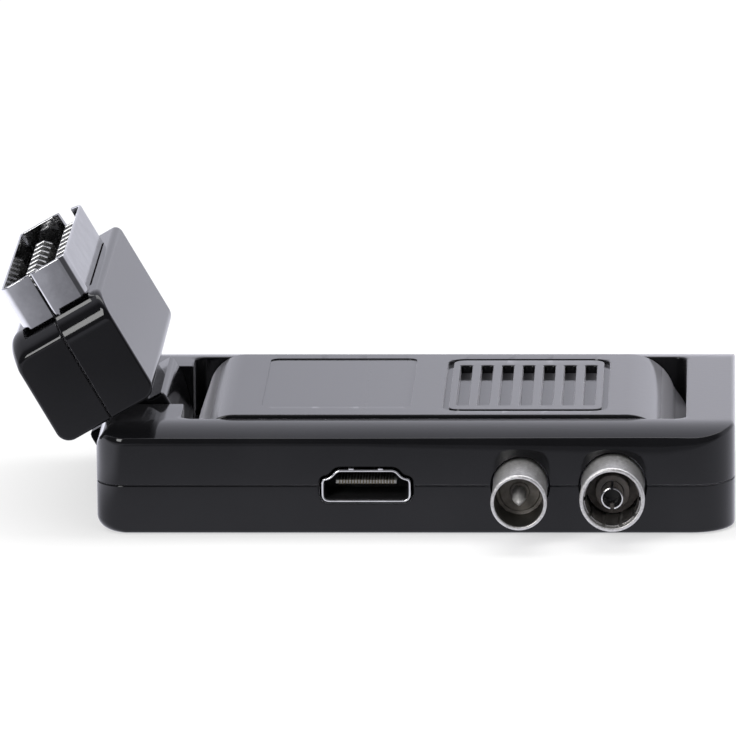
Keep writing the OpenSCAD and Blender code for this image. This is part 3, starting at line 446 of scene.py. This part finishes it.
# The bow of a finger as (y, how far it stands in from the barrel).
bow = np.array([(-41.1, 0), (-40.9, 0.06), (-40.0, 0.25), (-38.8, 0.32), (-37.4, 0.16), (-36.0, 0), (ROOT_Y, 0)])
finger_arc = np.radians(np.linspace(-FINGER_HALF, FINGER_HALF, FINGER_POINTS))
finger_turn = np.concatenate([finger_arc, finger_arc[::-1]])
finger_r = np.repeat([FINGER_OUT, FINGER_IN], FINGER_POINTS) - bow[:, 1:]
fingers = [loft("finger", about(INLET_X, finger_r, bow[:, :1], middle + finger_turn))
           for middle in np.radians((np.arange(FINGER_COUNT) + 0.5) * 360 / FINGER_COUNT)]
dress(joined("aerial_inlet_spring", fingers), spring_dark, "nickel", "case", "aerial_in_spring")

# ---------------------------------------------------------------------------------------------------------------------
# Sockets in the back: a folded nickel-plated data socket with its white tongue, and two black jacks pressed against
# the wall from inside.
nickel = speckled("nickel_plate", (0.5, 0.495, 0.485), (0.66, 0.655, 0.64), 900, (0.16, 0.3), 1.0, 0.05)
paint(nickel, "usb_shell", "power_pin")
paint(ivory, "usb_tongue")
paint(jack_black, "power_jack", "infrared_jack")

# ---------------------------------------------------------------------------------------------------------------------
# Upper half of the case: the same gloss black moulding, with a crowned rail round the well for the cover, front and
# back edges that roll over more towards the right, a soft hinge end, and a fine groove where it meets the tray.
WELL_LO, WELL_HI, WELL_CORNERS = (-39.9, -23.2), (45.7, 24.0), (2.0,) * 4
TOP_Z, ROOF_Z, WALL_T = 17.9, 15.8, 2.0
RAIL_R, RAIL_RUN = 20.8, 8.0
HINGE_ROUND, END_ROUND = 4.0, 0.8
EDGE_R = 0.3
LEDGE_X, LEDGE_Z, END_LEDGE_Z = (-30.4, 36.2), 15.2, 8.6
LEDGE_W, LEDGE_BREAK = 1.2, 0.12
SWELL_FROM, SWELL_RUN, FADE_END, FADE_RUN, FADE_LEAST = -10, 50, 50, 8, 0.2


def dip(r, over):
    """How far a circle of radius r has fallen at a distance past its top."""
    return r - np.sqrt(np.maximum(r ** 2 - np.clip(over, 0, r) ** 2, 0))


def rail_top(xy):
    """Height of the top at each (x, y): flat, with a wide arc falling over the outer run at front and back, a larger
    round at the hinge end and a small one at the other; the falls blend as the fourth root of fourth powers."""
    x, y = xy.T
    falls = np.stack([dip(RAIL_R, np.abs(y) - (BACK_Y - RAIL_RUN)), dip(HINGE_ROUND, HINGE_ROUND - (x - CASE_LO[0])),
                      dip(END_ROUND, END_ROUND - (CASE_HI[0] - x))])
    return TOP_Z - np.sum(falls ** 4, 0) ** 0.25


well = plan(WELL_LO, WELL_HI, WELL_CORNERS)
inward = plan(WELL_LO, WELL_HI, WELL_CORNERS, 1.0) - well
run = len(rim) - SIDE_POINTS
start_y = np.array([SLOT_Y[0], -12.07, -12.3, -15.98, CHEEK_Y[0], -19.5])
end_y = np.array([23.0, 21.02, CHEEK_Y[1], 17.3, 17.07, SLOT_Y[1]])


def open_path(x, loop, way, normals):
    """A closed outline opened at the arm slot, and its normals: a straight run at x, the loop up to the back left
    corner, and another straight run. On both runs the normals point the given way along X."""
    before, after = (np.column_stack([np.full(len(y), x), y]) for y in (start_y, end_y))
    flat = np.tile((way, 0.0), (len(start_y), 1))
    return np.concatenate([before, loop[:run], after]), np.concatenate([flat, normals[:run], flat])


edge, edge_out = open_path(CASE_LO[0], rim, -1.0, outward)
brim, brim_in = open_path(WELL_LO[0], well, 1.0, inward)
# The well's corner ends nearer the front than the case's, so its last straight run starts there.
brim[len(start_y) + run, 1] = 21.6
# Beside the slot the moulding is solid down to the seam; elsewhere the well has a ledge, lower at the cover's ends.
solid = np.zeros(len(edge), dtype=bool)
solid[:4] = solid[-4:] = True
ledge = np.where((brim[:, 0] > LEDGE_X[0]) & (brim[:, 0] < LEDGE_X[1]), LEDGE_Z, END_LEDGE_Z)
ledge[solid] = SEAM_Z
section = []


def station(xy, z):
    """One line of the upper half, carried all the way round."""
    section.append(np.column_stack([xy, np.broadcast_to(z, len(xy))]))


for inset, z in ((WALL_T, SEAM_Z), (0.36, SEAM_Z), (0.36, 8.41), (0.13, 8.42), (0.04, 8.46), (0, 8.55), (0, 10.5),
                 (0, 12.6)):
    station(edge - inset * edge_out, z)
# Sides is 1 on the front and the back wall; the swell of their edges grows to the right and fades before the end.
sides = edge_out[:, 1] ** 2
rise = np.clip((edge[:, 0] - SWELL_FROM) / SWELL_RUN, 0, 1)
swell = sides ** 2 * rise * np.clip((FADE_END - edge[:, 0]) / FADE_RUN, FADE_LEAST, 1)
roll_in, roll_down = (0.35 + 0.2 * swell)[:, None], 0.35 + 0.95 * sides + 1.7 * swell
for a in np.radians(np.linspace(90, 0, 14)):
    xy = edge - roll_in * (1 - sin(a)) * edge_out
    station(xy, rail_top(xy) - roll_down * (1 - cos(a)))
brink = brim - EDGE_R * brim_in
for w in (np.arange(1, 25) / 24) ** 1.6:
    xy = (edge - roll_in * edge_out) * (1 - w) + brink * w
    station(xy, rail_top(xy))
for a in np.radians([22.5, 45, 67.5, 90]):
    station(brink + EDGE_R * sin(a) * brim_in, TOP_Z - EDGE_R * (1 - cos(a)))
station(brim, 17.0)
station(brim, ledge + LEDGE_BREAK)
station(brim - LEDGE_BREAK * brim_in, ledge)
station(brim - LEDGE_W * brim_in, ledge)
roof = np.where(solid, SEAM_Z, ROOF_Z)
station(np.where(solid[:, None], 0.5 * (edge + brim), brim - LEDGE_W * brim_in), roof)
station(np.where(solid[:, None], edge - 2.4 * edge_out, edge - WALL_T * edge_out), roof)
hoops = np.stack(section, 1)
# The first and last two hoops shrink a little: a broken edge along both sides of the slot.
for i, by in ((0, 0.18), (1, 0.05), (-1, 0.18), (-2, 0.05)):
    hoops[i][:, ::2] = grow(hoops[i][:, ::2], -by)
upper = loft("upper_case", hoops)
carve(upper, *socket_cutters())
dress(upper, case_black, "gloss_black", "case", "top_case")

# ---------------------------------------------------------------------------------------------------------------------
# Raised cover in the well: a gloss black lid bent down at both ends, snapped in from above. It carries a bare shallow
# panel and a grille of seven blind grooves inside a ring groove.
COVER_Z, COVER_Y = 18.5, (-23.0, 23.8)
LEFT_X, LEFT_R, LEFT_LEAN = -30.97, 6.5, radians(71)
RIGHT_X, RIGHT_R, RIGHT_LEAN, RAMP_LEAN, MEET_LEAN = 35.6, 8.1, 73, 55.5, 64
SLOPE_FOOT, SLOPE_RISE = (-39.15, 8.2), (2.034, 5.916)
RAMP_TOP, RAMP_FALL = (43.346, 12.768), (2.154, -3.134)
SKIRT_T, SKIRT_DEEP, LID_T = 1.4, 3.2, 2.2
RING = (4.9, -19.55), (31.9, 19.25), (2.5,) * 4
GROOVE_COUNT, GROOVE_PITCH, GROOVE_HALF, GRILLE_X, GRILLE_Y = 7, 3.59, 1.0, 18.4, (-15.75, 14.85)
rising, falling = np.linspace(0, 1, 8)[:-1], np.linspace(0, 1, 8)[1:]
left_arc, right_arc = np.linspace(-LEFT_LEAN, 0, 26), np.radians(np.linspace(0, RIGHT_LEAN, 28))
flat_x = np.linspace(LEFT_X, RIGHT_X, 42)[1:-1]
cover_x = np.concatenate([SLOPE_FOOT[0] + rising * SLOPE_RISE[0], LEFT_X + LEFT_R * np.sin(left_arc), flat_x,
                          RIGHT_X + RIGHT_R * np.sin(right_arc), RAMP_TOP[0] + falling * RAMP_FALL[0]])
cover_z = np.concatenate([SLOPE_FOOT[1] + rising * SLOPE_RISE[1], COVER_Z - LEFT_R + LEFT_R * np.cos(left_arc),
                          0 * flat_x + COVER_Z, COVER_Z - RIGHT_R + RIGHT_R * np.cos(right_arc),
                          RAMP_TOP[1] + falling * RAMP_FALL[1]])
tilt = np.concatenate([0 * rising - LEFT_LEAN, left_arc, 0 * flat_x, right_arc, 0 * falling + radians(RAMP_LEAN)])
tilt[-len(falling) - 1] = radians(MEET_LEAN)
bead = np.radians([0, 22.5, 45, 67.5, 90])
bead_drop = EDGE_R * (1 - np.cos(bead))
y0, y1 = COVER_Y
across = np.concatenate([np.linspace(y0 + EDGE_R, y1 - EDGE_R, 12)[:-1], y1 - EDGE_R + EDGE_R * np.sin(bead),
                         [y1, y1 - SKIRT_T, y1 - SKIRT_T, y0 + SKIRT_T, y0 + SKIRT_T, y0],
                         y0 + EDGE_R - EDGE_R * np.sin(bead[:0:-1])])
below = np.concatenate([np.zeros(11), bead_drop, [SKIRT_DEEP, SKIRT_DEEP, LID_T, LID_T, SKIRT_DEEP, SKIRT_DEEP],
                        bead_drop[:0:-1]])
lid = loft("top_cover_lid", np.stack([cover_x[:, None] - np.sin(tilt)[:, None] * below,
                                      np.broadcast_to(across, (len(tilt), len(across))),
                                      cover_z[:, None] - np.cos(tilt)[:, None] * below], -1))
ring = plan(*RING, arc=10, side=2)
ring_out = ring - plan(*RING, 1.0, arc=10, side=2)
trench = np.array([(-0.5, 17.8), (0.5, 17.8), (0.5, 18.36), (0.55, 18.46), (0.65, 18.5), (0.65, 19.2),
                   (-0.65, 19.2), (-0.65, 18.5), (-0.55, 18.46), (-0.5, 18.36)])
trench_xy = ring[:, None] + ring_out[:, None] * trench[None, :, :1]
trench_z = np.broadcast_to(trench[:, 1:], (len(ring), len(trench), 1))
ring_cutter = loft("cut", np.concatenate([trench_xy, trench_z], -1), wrap=True)
lead_in = [(17.1, 0), (18.2, 0), (18.36, 0.04), (18.46, 0.13), (18.5, 0.27), (19.2, 0.27)]
groove_plans = [plan((x - GROOVE_HALF, GRILLE_Y[0]), (x + GROOVE_HALF, GRILLE_Y[1]), (0.5,) * 4, arc=6, side=2)
                for x in GRILLE_X + GROOVE_PITCH * (np.arange(GROOVE_COUNT) - GROOVE_COUNT // 2)]
panel = loft("cut", along_z(plan((-26.5, -16.9), (-1.1, 20.3), (1.5,) * 4, arc=8, side=2),
                            [(18.3, 0), (18.44, 0), (18.48, 0.03), (18.5, 0.08), (19.2, 0.08)]))
carve(lid, ring_cutter, panel, *(loft("cut", along_z(outline, lead_in)) for outline in groove_plans))
# Painted light: sheen strongest on the bent ends and rising to the right, light grey painted on both steep ends.
cover_black = gloss_black("cover_gloss_black", sheen_and_grey=(
    (-0.0395, 1.0, 0.35), (-0.0365, 0.91, 0.35), (-0.0333, 0.35, 0), (-0.0325, 0.2, 0),
    (0.0405, 0.92, 0), (0.0418, 0.85, 0.3), (0.0434, 0.58, 0.3), (0.0438, 0.52, 0), (0.0445, 0.4, 0)))
dress(lid, cover_black, "gloss_black", "case", "top_cover")

# ---------------------------------------------------------------------------------------------------------------------
# Case screws and the hinge: zinc-plated steel. The solid pin and the hollow trunnion are pressed into the cheeks, and
# spring washers beside the arm give the friction that holds the head.
zinc = speckled("zinc_steel", (0.36, 0.37, 0.38), (0.55, 0.56, 0.57), 1200, (0.25, 0.42), 1.0, 0.12)
paint(zinc, "case_screws", "hinge_pin", "hinge_trunnion", "friction_washers", "head_screws")

# ---------------------------------------------------------------------------------------------------------------------
# Swivel arm: a gloss black moulding with a hollow knuckle on the hinge, a wider shoulder, and a neck whose flange is
# clamped between the two halves of the head.
HINGE, LEAN = np.array([HINGE_X, 0.0, HINGE_Z]), radians(30)
KNUCKLE_R, PIN_HOLE_R, ARM_Y = 6.0, 2.55, (-11.65, 16.65)


def on_head(points):
    """Takes points from the upright head, with X across it and Z along the plug, to its rest angle on the hinge."""
    x, y, z = np.moveaxis(points, -1, 0)
    return np.stack([x * cos(LEAN) - z * sin(LEAN), y, x * sin(LEAN) + z * cos(LEAN)], -1) + HINGE


turn = np.radians(np.linspace(-84, 84, 40))
knuckle = KNUCKLE_R * np.stack([np.sin(turn), -np.cos(turn)], -1)
shoulder = np.array([(7.4, 4.2), (7.4, 6.0), (7.4, 7.2), (7.26, 7.8), (6.9, 8.1), (6.0, 8.1), (5.0, 8.1),
                     (4.6, 8.15), (4.6, 10.0), (4.6, 12.0), (4.6, 14.0)])
outline = np.concatenate([knuckle, shoulder, shoulder[::-1] * (-1, 1)])
bevel = [(0, -0.5), (0.04, -0.31), (0.15, -0.15), (0.31, -0.04), (0.5, 0)]
stations = [(ARM_Y[0] + d, by) for d, by in bevel] + [(ARM_Y[1] - d, by) for d, by in bevel[::-1]]
arm = loft("swivel_arm_body", on_head(along_y(outline, stations)))
flange = along_z(rectangle(-7.4, 7.4, -13.65, 18.65), [(13.5, 0), (15.0, 0)])
carve(arm, loft("cut", on_head(flange)), way="UNION")
pin_hole = along_y(circle(0, 0, PIN_HOLE_R, 64), [(-13, 0), (18, 0)])
wire_way = along_z(rectangle(-3.2, 3.2, -4.5, 9.5), [(-3.2, 0), (16, 0)])
carve(arm, loft("cut", on_head(pin_hole)), loft("cut", on_head(wire_way)))
# Painted light and shade: the arm's sheen fades to the right, and its reflection is cut where it sits low in the slot.
arm_black = gloss_black("arm_gloss_black", sheen_and_grey=((-0.07, 0.12, 0), (-0.045, 0, 0)), deep=(0.0158, 0.0168))
dress(arm, arm_black, "gloss_black", "plug_head", "swivel_arm")

# ---------------------------------------------------------------------------------------------------------------------
# Plug head: two gloss black half shells screwed together from the left, with rounded lower edges, a soft brow at the
# front, a tighter edge at the back and a fine groove where they meet. The shield comes out through the top.
HEAD_T, HEAD_LO, HEAD_HI, HEAD_Y, SPLIT = 9.25, 11.2, 31.1, 28.5, 0.2
HEAD_END_R, HEAD_BACK_R, HEAD_FOOT_R = 0.5, 1.5, 2.4
BROW_MEET = radians(35)
V_ROUND, V_DEEP = 0.12, 1.2
HEAD_SCREW_Y, HEAD_SCREW_Z, HEAD_SCREW_R = (-23.9, 23.9), 19.7, 1.9


def head_half(name, side, brow_r, gap, big, tight):
    """One half shell, lofted along Y. Each ring is half a rounded rectangle; towards the ends it shrinks along a
    small circle, its top falls to the front along a big circle that passes into a tight one 35 degrees from the end
    face and to the back along one circle, and its inner face slants over the last 1.2 mm: a V groove at the split."""
    d = np.array([0, 0.015, 0.04, 0.08, 0.13, 0.2, 0.33, 0.5, 0.7, 1.0, 1.4,
                  1.9, 2.5, 3.1, 3.7, 4.3, 5.0, 5.6, 6.1, 6.5, 9.0, 14.0])
    y = np.concatenate([d - HEAD_Y, [0.0], HEAD_Y - d[::-1]])
    d = HEAD_Y - np.abs(y)
    shrink = dip(HEAD_END_R, HEAD_END_R - d)
    near = tight * (1 - cos(BROW_MEET))
    low = big * (1 - sin(BROW_MEET)) + tight * sin(BROW_MEET) - tight + dip(tight, tight - d)
    high = dip(big, big * cos(BROW_MEET) + near - d)
    brow = np.where(y > 0, dip(HEAD_BACK_R, HEAD_BACK_R - d), np.where(d < near, low, high))
    lo, hi, wide = HEAD_LO + shrink, HEAD_HI - brow - shrink, HEAD_T - shrink
    foot_r, top_r = HEAD_FOOT_R - shrink, brow_r - shrink
    split = SPLIT * side
    seam = split + gap + dip(V_ROUND, V_ROUND - d)
    heart = split + (seam - split) * np.clip(1 - d / V_DEEP, 0, 1)
    quarter = np.radians(np.linspace(0, 90, 14))
    soft, fine, deep = 0.16, 0.05, 1.0
    ring = np.array([(heart, lo + deep), (seam, lo + soft), (seam + fine, lo + fine), (seam + soft, lo),
                     *((wide - foot_r * (1 - sin(t)), lo + foot_r * (1 - cos(t))) for t in quarter),
                     *((wide - top_r * (1 - cos(t)), hi - top_r * (1 - sin(t))) for t in quarter),
                     (seam + soft, hi), (seam + fine, hi - fine), (seam, hi - soft), (heart, hi - deep)])
    x, z = ring.transpose(1, 2, 0)
    return loft(name, on_head(np.stack([side * x, np.broadcast_to(y[:, None], x.shape), z], -1)))


def lip_rib(x0, x1, sink):
    """Low rib along X on the outer lip of the channel: a steep flat towards the front, a round top, and its back in
    the wall of the channel."""
    y, z = np.array([(-26.64, 29.5), (-26.33, 30.42), (-26.29, 30.48), (-26.22, 30.51), (-26.16, 30.48),
                     (-26.12, 30.4), (-26.12, 29.5)]).T
    return loft("cut", on_head(np.stack([np.column_stack([np.full(len(y), x), y, z - sink]) for x in (x0, x1)])))


SHIELD = [(-5.75, -23), (7.05, -23), (7.05, 18.4), (1.85, 23), (-5.75, 23)]
BENDS = np.array([[1.4], [1.9], [1.1], [1.1], [1.1]])


def head_cutters():
    """Solids of the head's hollow, the arm's opening, the shield's opening, the channel before it and the slit
    beside it."""
    over_top = 33.0
    channel = plan((-5.85, -26.14), (7.15, -22.5), (0.3,) * 4, arc=4, side=1)
    shapes = [along_z(rectangle(-7.45, 7.45, -26.5, 26.5), [(13.4, 0), (27.2, 0)]),
              along_z(rectangle(-4.65, 4.65, -11.7, 16.7), [(9.0, 0), (14.5, 0)]),
              along_z(soften(SHIELD, BENDS, 8), [(26.0, 0.02), (over_top, 0.02)]),
              along_z(channel, [(29.3, 0), (over_top, 0)]),
              along_z(rectangle(6.9, 7.27, -17.0, 17.0), [(29.9, 0), (over_top, 0)])]
    return [loft("cut", on_head(shape)) for shape in shapes]


def screw_well_cutters():
    """Stepped wells for the two head screws: drawn along Z, then turned to run along X from the left face."""
    steps = [(-10.1, 0.12), (-9.25, 0.12), (-9.13, 0), (-7.25, 0)]
    wells = [along_z(circle(-HEAD_SCREW_Z, y, HEAD_SCREW_R, 48), steps) for y in HEAD_SCREW_Y]
    return [loft("cut", on_head(rings[..., [2, 1, 0]] * (1, 1, -1))) for rings in wells]


# Painted light: the head has the case's sheen along X, weak where it stands at the left.
head_black = gloss_black("head_gloss_black", 0.008)
half_left = head_half("head_half_left", -1, 2.7, 0.1, 7.5, 0.5)
carve(half_left, lip_rib(-5.9, 0.0, 0.52), way="UNION")
carve(half_left, *head_cutters(), *screw_well_cutters())
dress(half_left, head_black, "gloss_black", "plug_head", "head_shell_left", sharp=25)
half_right = head_half("head_half_right", 1, 1.1, 0.25, 5.0, 5.0)
carve(half_right, lip_rib(0.62, 7.4, -0.16), way="UNION")
carve(half_right, *head_cutters())
dress(half_right, head_black, "gloss_black", "plug_head", "head_shell_right", sharp=25)

# ---------------------------------------------------------------------------------------------------------------------
# Plug: a shield folded from nickel-plated sheet round a black block, its butt seam in the front wall, one corner cut
# and notched, and twenty flat contacts with bevelled tips in two staggered rows.
SHIELD_LO, SHIELD_HI, NOTCH_Z, BEND_POINTS = 25.9, 38.8, 35.4, 9
ROW_COUNT, ROW_PITCH, ROW_OFF, PLUG_X = 10, 3.81, 2.9, 0.65


def folded_sheet(name):
    """Sheet 0.5 mm thick carried round the shield's outline from one side of the butt seam to the other; its section
    has a rounded upper edge, and the edge drops 3.4 mm over a notch in the wall across the cut corner."""
    bends = soften(SHIELD, BENDS, BEND_POINTS).reshape(len(SHIELD), BEND_POINTS, 2)
    cut_a, cut_b = np.array(SHIELD[2:4], dtype=float)
    notch = cut_a + (cut_b - cut_a) / np.linalg.norm(cut_b - cut_a) * np.array([[2.55], [2.6], [5.7], [5.8]])
    seam_start = [(0.02, -22.45), (0.08, -22.7), (0.24, -22.9), (0.52, -23), (3.0, -23)]
    seam_end = [(-3.0, -23), (-0.24, -23), (-0.14, -22.94)]
    path = np.concatenate([seam_start, bends[1], bends[2], notch, bends[3], bends[4], bends[0], seam_end])
    ahead = np.concatenate([path[1:], path[-1:]]) - np.concatenate([path[:1], path[:-1]])
    out = np.stack([ahead[:, 1], -ahead[:, 0]], -1) / np.linalg.norm(ahead, axis=1)[:, None]
    top = np.full(len(path), SHIELD_HI)
    notch_at = len(seam_start) + 2 * BEND_POINTS
    top[notch_at + 1:notch_at + 6] = NOTCH_Z
    depth = np.array([0, 0, 0.03, 0.11, 0.22, 0.28, 0.39, 0.47, 0.5, 0.5])
    below_top = np.array([0.22, 0.11, 0.03, 0, 0, 0.03, 0.11, 0.22])
    root = np.full((len(path), 1), SHIELD_LO)
    z = np.concatenate([root, top[:, None] - below_top, root], 1)
    xy = path[:, None] - out[:, None] * depth[None, :, None]
    return loft(name, on_head(np.concatenate([xy, z[..., None]], -1)))


shield_nickel = speckled("shield_nickel", (0.42, 0.42, 0.425), (0.54, 0.54, 0.545), 260, (0.05, 0.1), 1.0, 0.01)
shield = folded_sheet("plug_shield_sheet")
dress(shield, shield_nickel, "nickel", "plug_head", "plug_shield")
block_black = speckled("block_nylon", (0.01, 0.01, 0.011), (0.022, 0.022, 0.024), 800, (0.35, 0.55), 0.0, 0.1)
paint(block_black, "plug_block")


def blades(name):
    """Twenty blades as one mesh: each is an octagon section with two broad faces, carried up Z and narrowed to its
    bevelled tip. Rows stand either side of the plug's middle and are staggered by half a pitch."""
    half, thin, soft = 1.9, 0.45, 0.14
    octagon = np.array([(-half, -thin + soft), (-half + soft, -thin), (half - soft, -thin), (half, -thin + soft),
                        (half, thin - soft), (half - soft, thin), (-half + soft, thin), (-half, thin - soft)])
    levels = [(25.7, 1.0, 1.0), (35.5, 1.0, 1.0), (35.75, 0.93, 1.0), (36.55, 0.52, 0.96), (36.75, 0.42, 0.8),
              (36.8, 0.36, 0.6)]
    blade = np.stack([np.column_stack([octagon * (w, t), np.full(len(octagon), z)]) for z, w, t in levels])
    side = np.repeat([-1.0, 1.0], ROW_COUNT)
    step = np.tile(np.arange(ROW_COUNT) - (ROW_COUNT - 1) / 2, 2) * ROW_PITCH + side * ROW_PITCH / 4
    places = np.column_stack([PLUG_X + side * ROW_OFF, step, 0 * side])
    return joined(name, [loft("blade", on_head(blade + place)) for place in places])


contacts = blades("plug_blades")
# A darker copy of nickel for the blades: painted shade inside the shield.
shaded_blade_nickel = speckled("shaded_blade_nickel", (0.3, 0.3, 0.295), (0.42, 0.42, 0.41), 900, (0.2, 0.32), 1.0, 0.06)
dress(contacts, shaded_blade_nickel, "nickel", "plug_head", "plug_contacts", sharp=30)

# ---------------------------------------------------------------------------------------------------------------------
# Studio: a pale floor that keeps the shadow, a white surround, a wide soft lamp overhead and a tall one at the front
# left, and a long-lens camera slightly above the object.
FLOOR_HALF, FLOOR_Z = 6.0, -0.0002
WHITE, COOL_WHITE = (1, 1, 1, 1), (0.89, 0.895, 1, 1)


def by_ray(tree, end, lit, seen, mirrored):
    """Joins three shaders by the kind of ray: one lights the object, one is seen directly or through glass, and one
    is seen in polished surfaces."""
    ray = add(tree, "LightPath").outputs
    direct = maths(tree, "MAXIMUM", ray["Is Camera Ray"], ray["Is Transmission Ray"])
    pick = add(tree, "MixShader", direct, lit.outputs[0], seen.outputs[0])
    mix = add(tree, "MixShader", ray["Is Glossy Ray"], pick.outputs[0], mirrored.outputs[0])
    add(tree, end, Surface=mix.outputs[0])


sheet_mesh = bpy.data.meshes.new("pale_floor")
corners = rectangle(-FLOOR_HALF, FLOOR_HALF, -FLOOR_HALF, FLOOR_HALF)
sheet_mesh.from_pydata([(x, y, FLOOR_Z) for x, y in corners.tolist()], [], [(0, 1, 2, 3)])
floor = linked("pale_floor", sheet_mesh)
paper = bpy.data.materials.new("white_paper")
paper.use_nodes = True
tree = paper.node_tree
tree.nodes.clear()
spot = add(tree, "SeparateXYZ", add(tree, "TexCoord").outputs["Object"]).outputs
before = spread(tree, spot["Y"], (-0.17, -0.03), (0.37, 1.0), smooth=True)
beyond = spread(tree, spot["Y"], (0.1, 0.6), (1.0, 0.8))
beside = spread(tree, spot["X"], (-0.1, -0.064), (2.2, 1.0), smooth=True)
strength = maths(tree, "MULTIPLY", maths(tree, "MULTIPLY", before, beyond), beside)
glow = add(tree, "Emission", Color=WHITE, Strength=0.55)
shade = add(tree, "BsdfDiffuse", Color=(0.5, 0.5, 0.5, 1))
by_ray(tree, "OutputMaterial", add(tree, "BsdfDiffuse", Color=(0.75, 0.75, 0.75, 1)),
       add(tree, "AddShader", glow.outputs[0], shade.outputs[0]),
       add(tree, "Emission", Color=COOL_WHITE, Strength=strength))
sheet_mesh.materials.append(paper)

world = bpy.data.worlds.new("white_surround")
bpy.context.scene.world = world
world.use_nodes = True
tree = world.node_tree
tree.nodes.clear()
aim = add(tree, "SeparateXYZ", add(tree, "TexCoord").outputs["Generated"]).outputs
room = spread(tree, aim["Y"], (-0.45, 0.0), (0.12, 1.0), smooth=True)
by_ray(tree, "OutputWorld", add(tree, "Background", Color=WHITE, Strength=0.55),
       add(tree, "Background", Color=WHITE, Strength=1.0), add(tree, "Background", Color=COOL_WHITE, Strength=room))


def stand(piece, place, right, up, ahead):
    """Puts a lamp or a camera in its place, facing ahead."""
    pose = np.eye(4)
    pose[:3, :3] = np.column_stack([right, up, -ahead])
    pose[:3, 3] = place
    piece.matrix_world = Matrix(pose.tolist())


def lamp(name, place, aim, width, height, power):
    """Area lamp of the given size in metres, turned so that it faces the aim point."""
    light = bpy.data.lights.new(name, "AREA")
    light.shape, light.size, light.size_y, light.energy = "RECTANGLE", width, height, power
    toward = np.array(aim, dtype=float) - np.array(place, dtype=float)
    toward /= np.linalg.norm(toward)
    right = np.cross(toward, (0, 0, 1))
    right /= np.linalg.norm(right)
    stand(linked(name, light), place, right, np.cross(right, toward), toward)


lamp("overhead_lamp", place=(0.0, 0.35, 1.3), aim=(0, 0, 0), width=1.3, height=0.5, power=7.5)
lamp("front_left_lamp", place=(-0.45, -1.0, 0.55), aim=(-0.05, 0, 0.02), width=0.3, height=0.65, power=6.0)

camera = linked("camera", bpy.data.cameras.new("camera"))
camera_place = (0.053909, -1.62047, 0.389538)
yaw, pitch, roll = radians(-2.221), radians(12.79), radians(-0.517)
ahead = np.array([sin(yaw) * cos(pitch), cos(yaw) * cos(pitch), -sin(pitch)])
level = np.array([cos(yaw), -sin(yaw), 0.0])
upright = np.cross(level, ahead)
stand(camera, camera_place, cos(roll) * level + sin(roll) * upright, cos(roll) * upright - sin(roll) * level, ahead)
camera.data.sensor_width = 36.0
camera.data.lens = 474.0
bpy.context.scene.camera = camera
bpy.context.scene.view_settings.view_transform = "Standard"

bpy.context.view_layer.update()
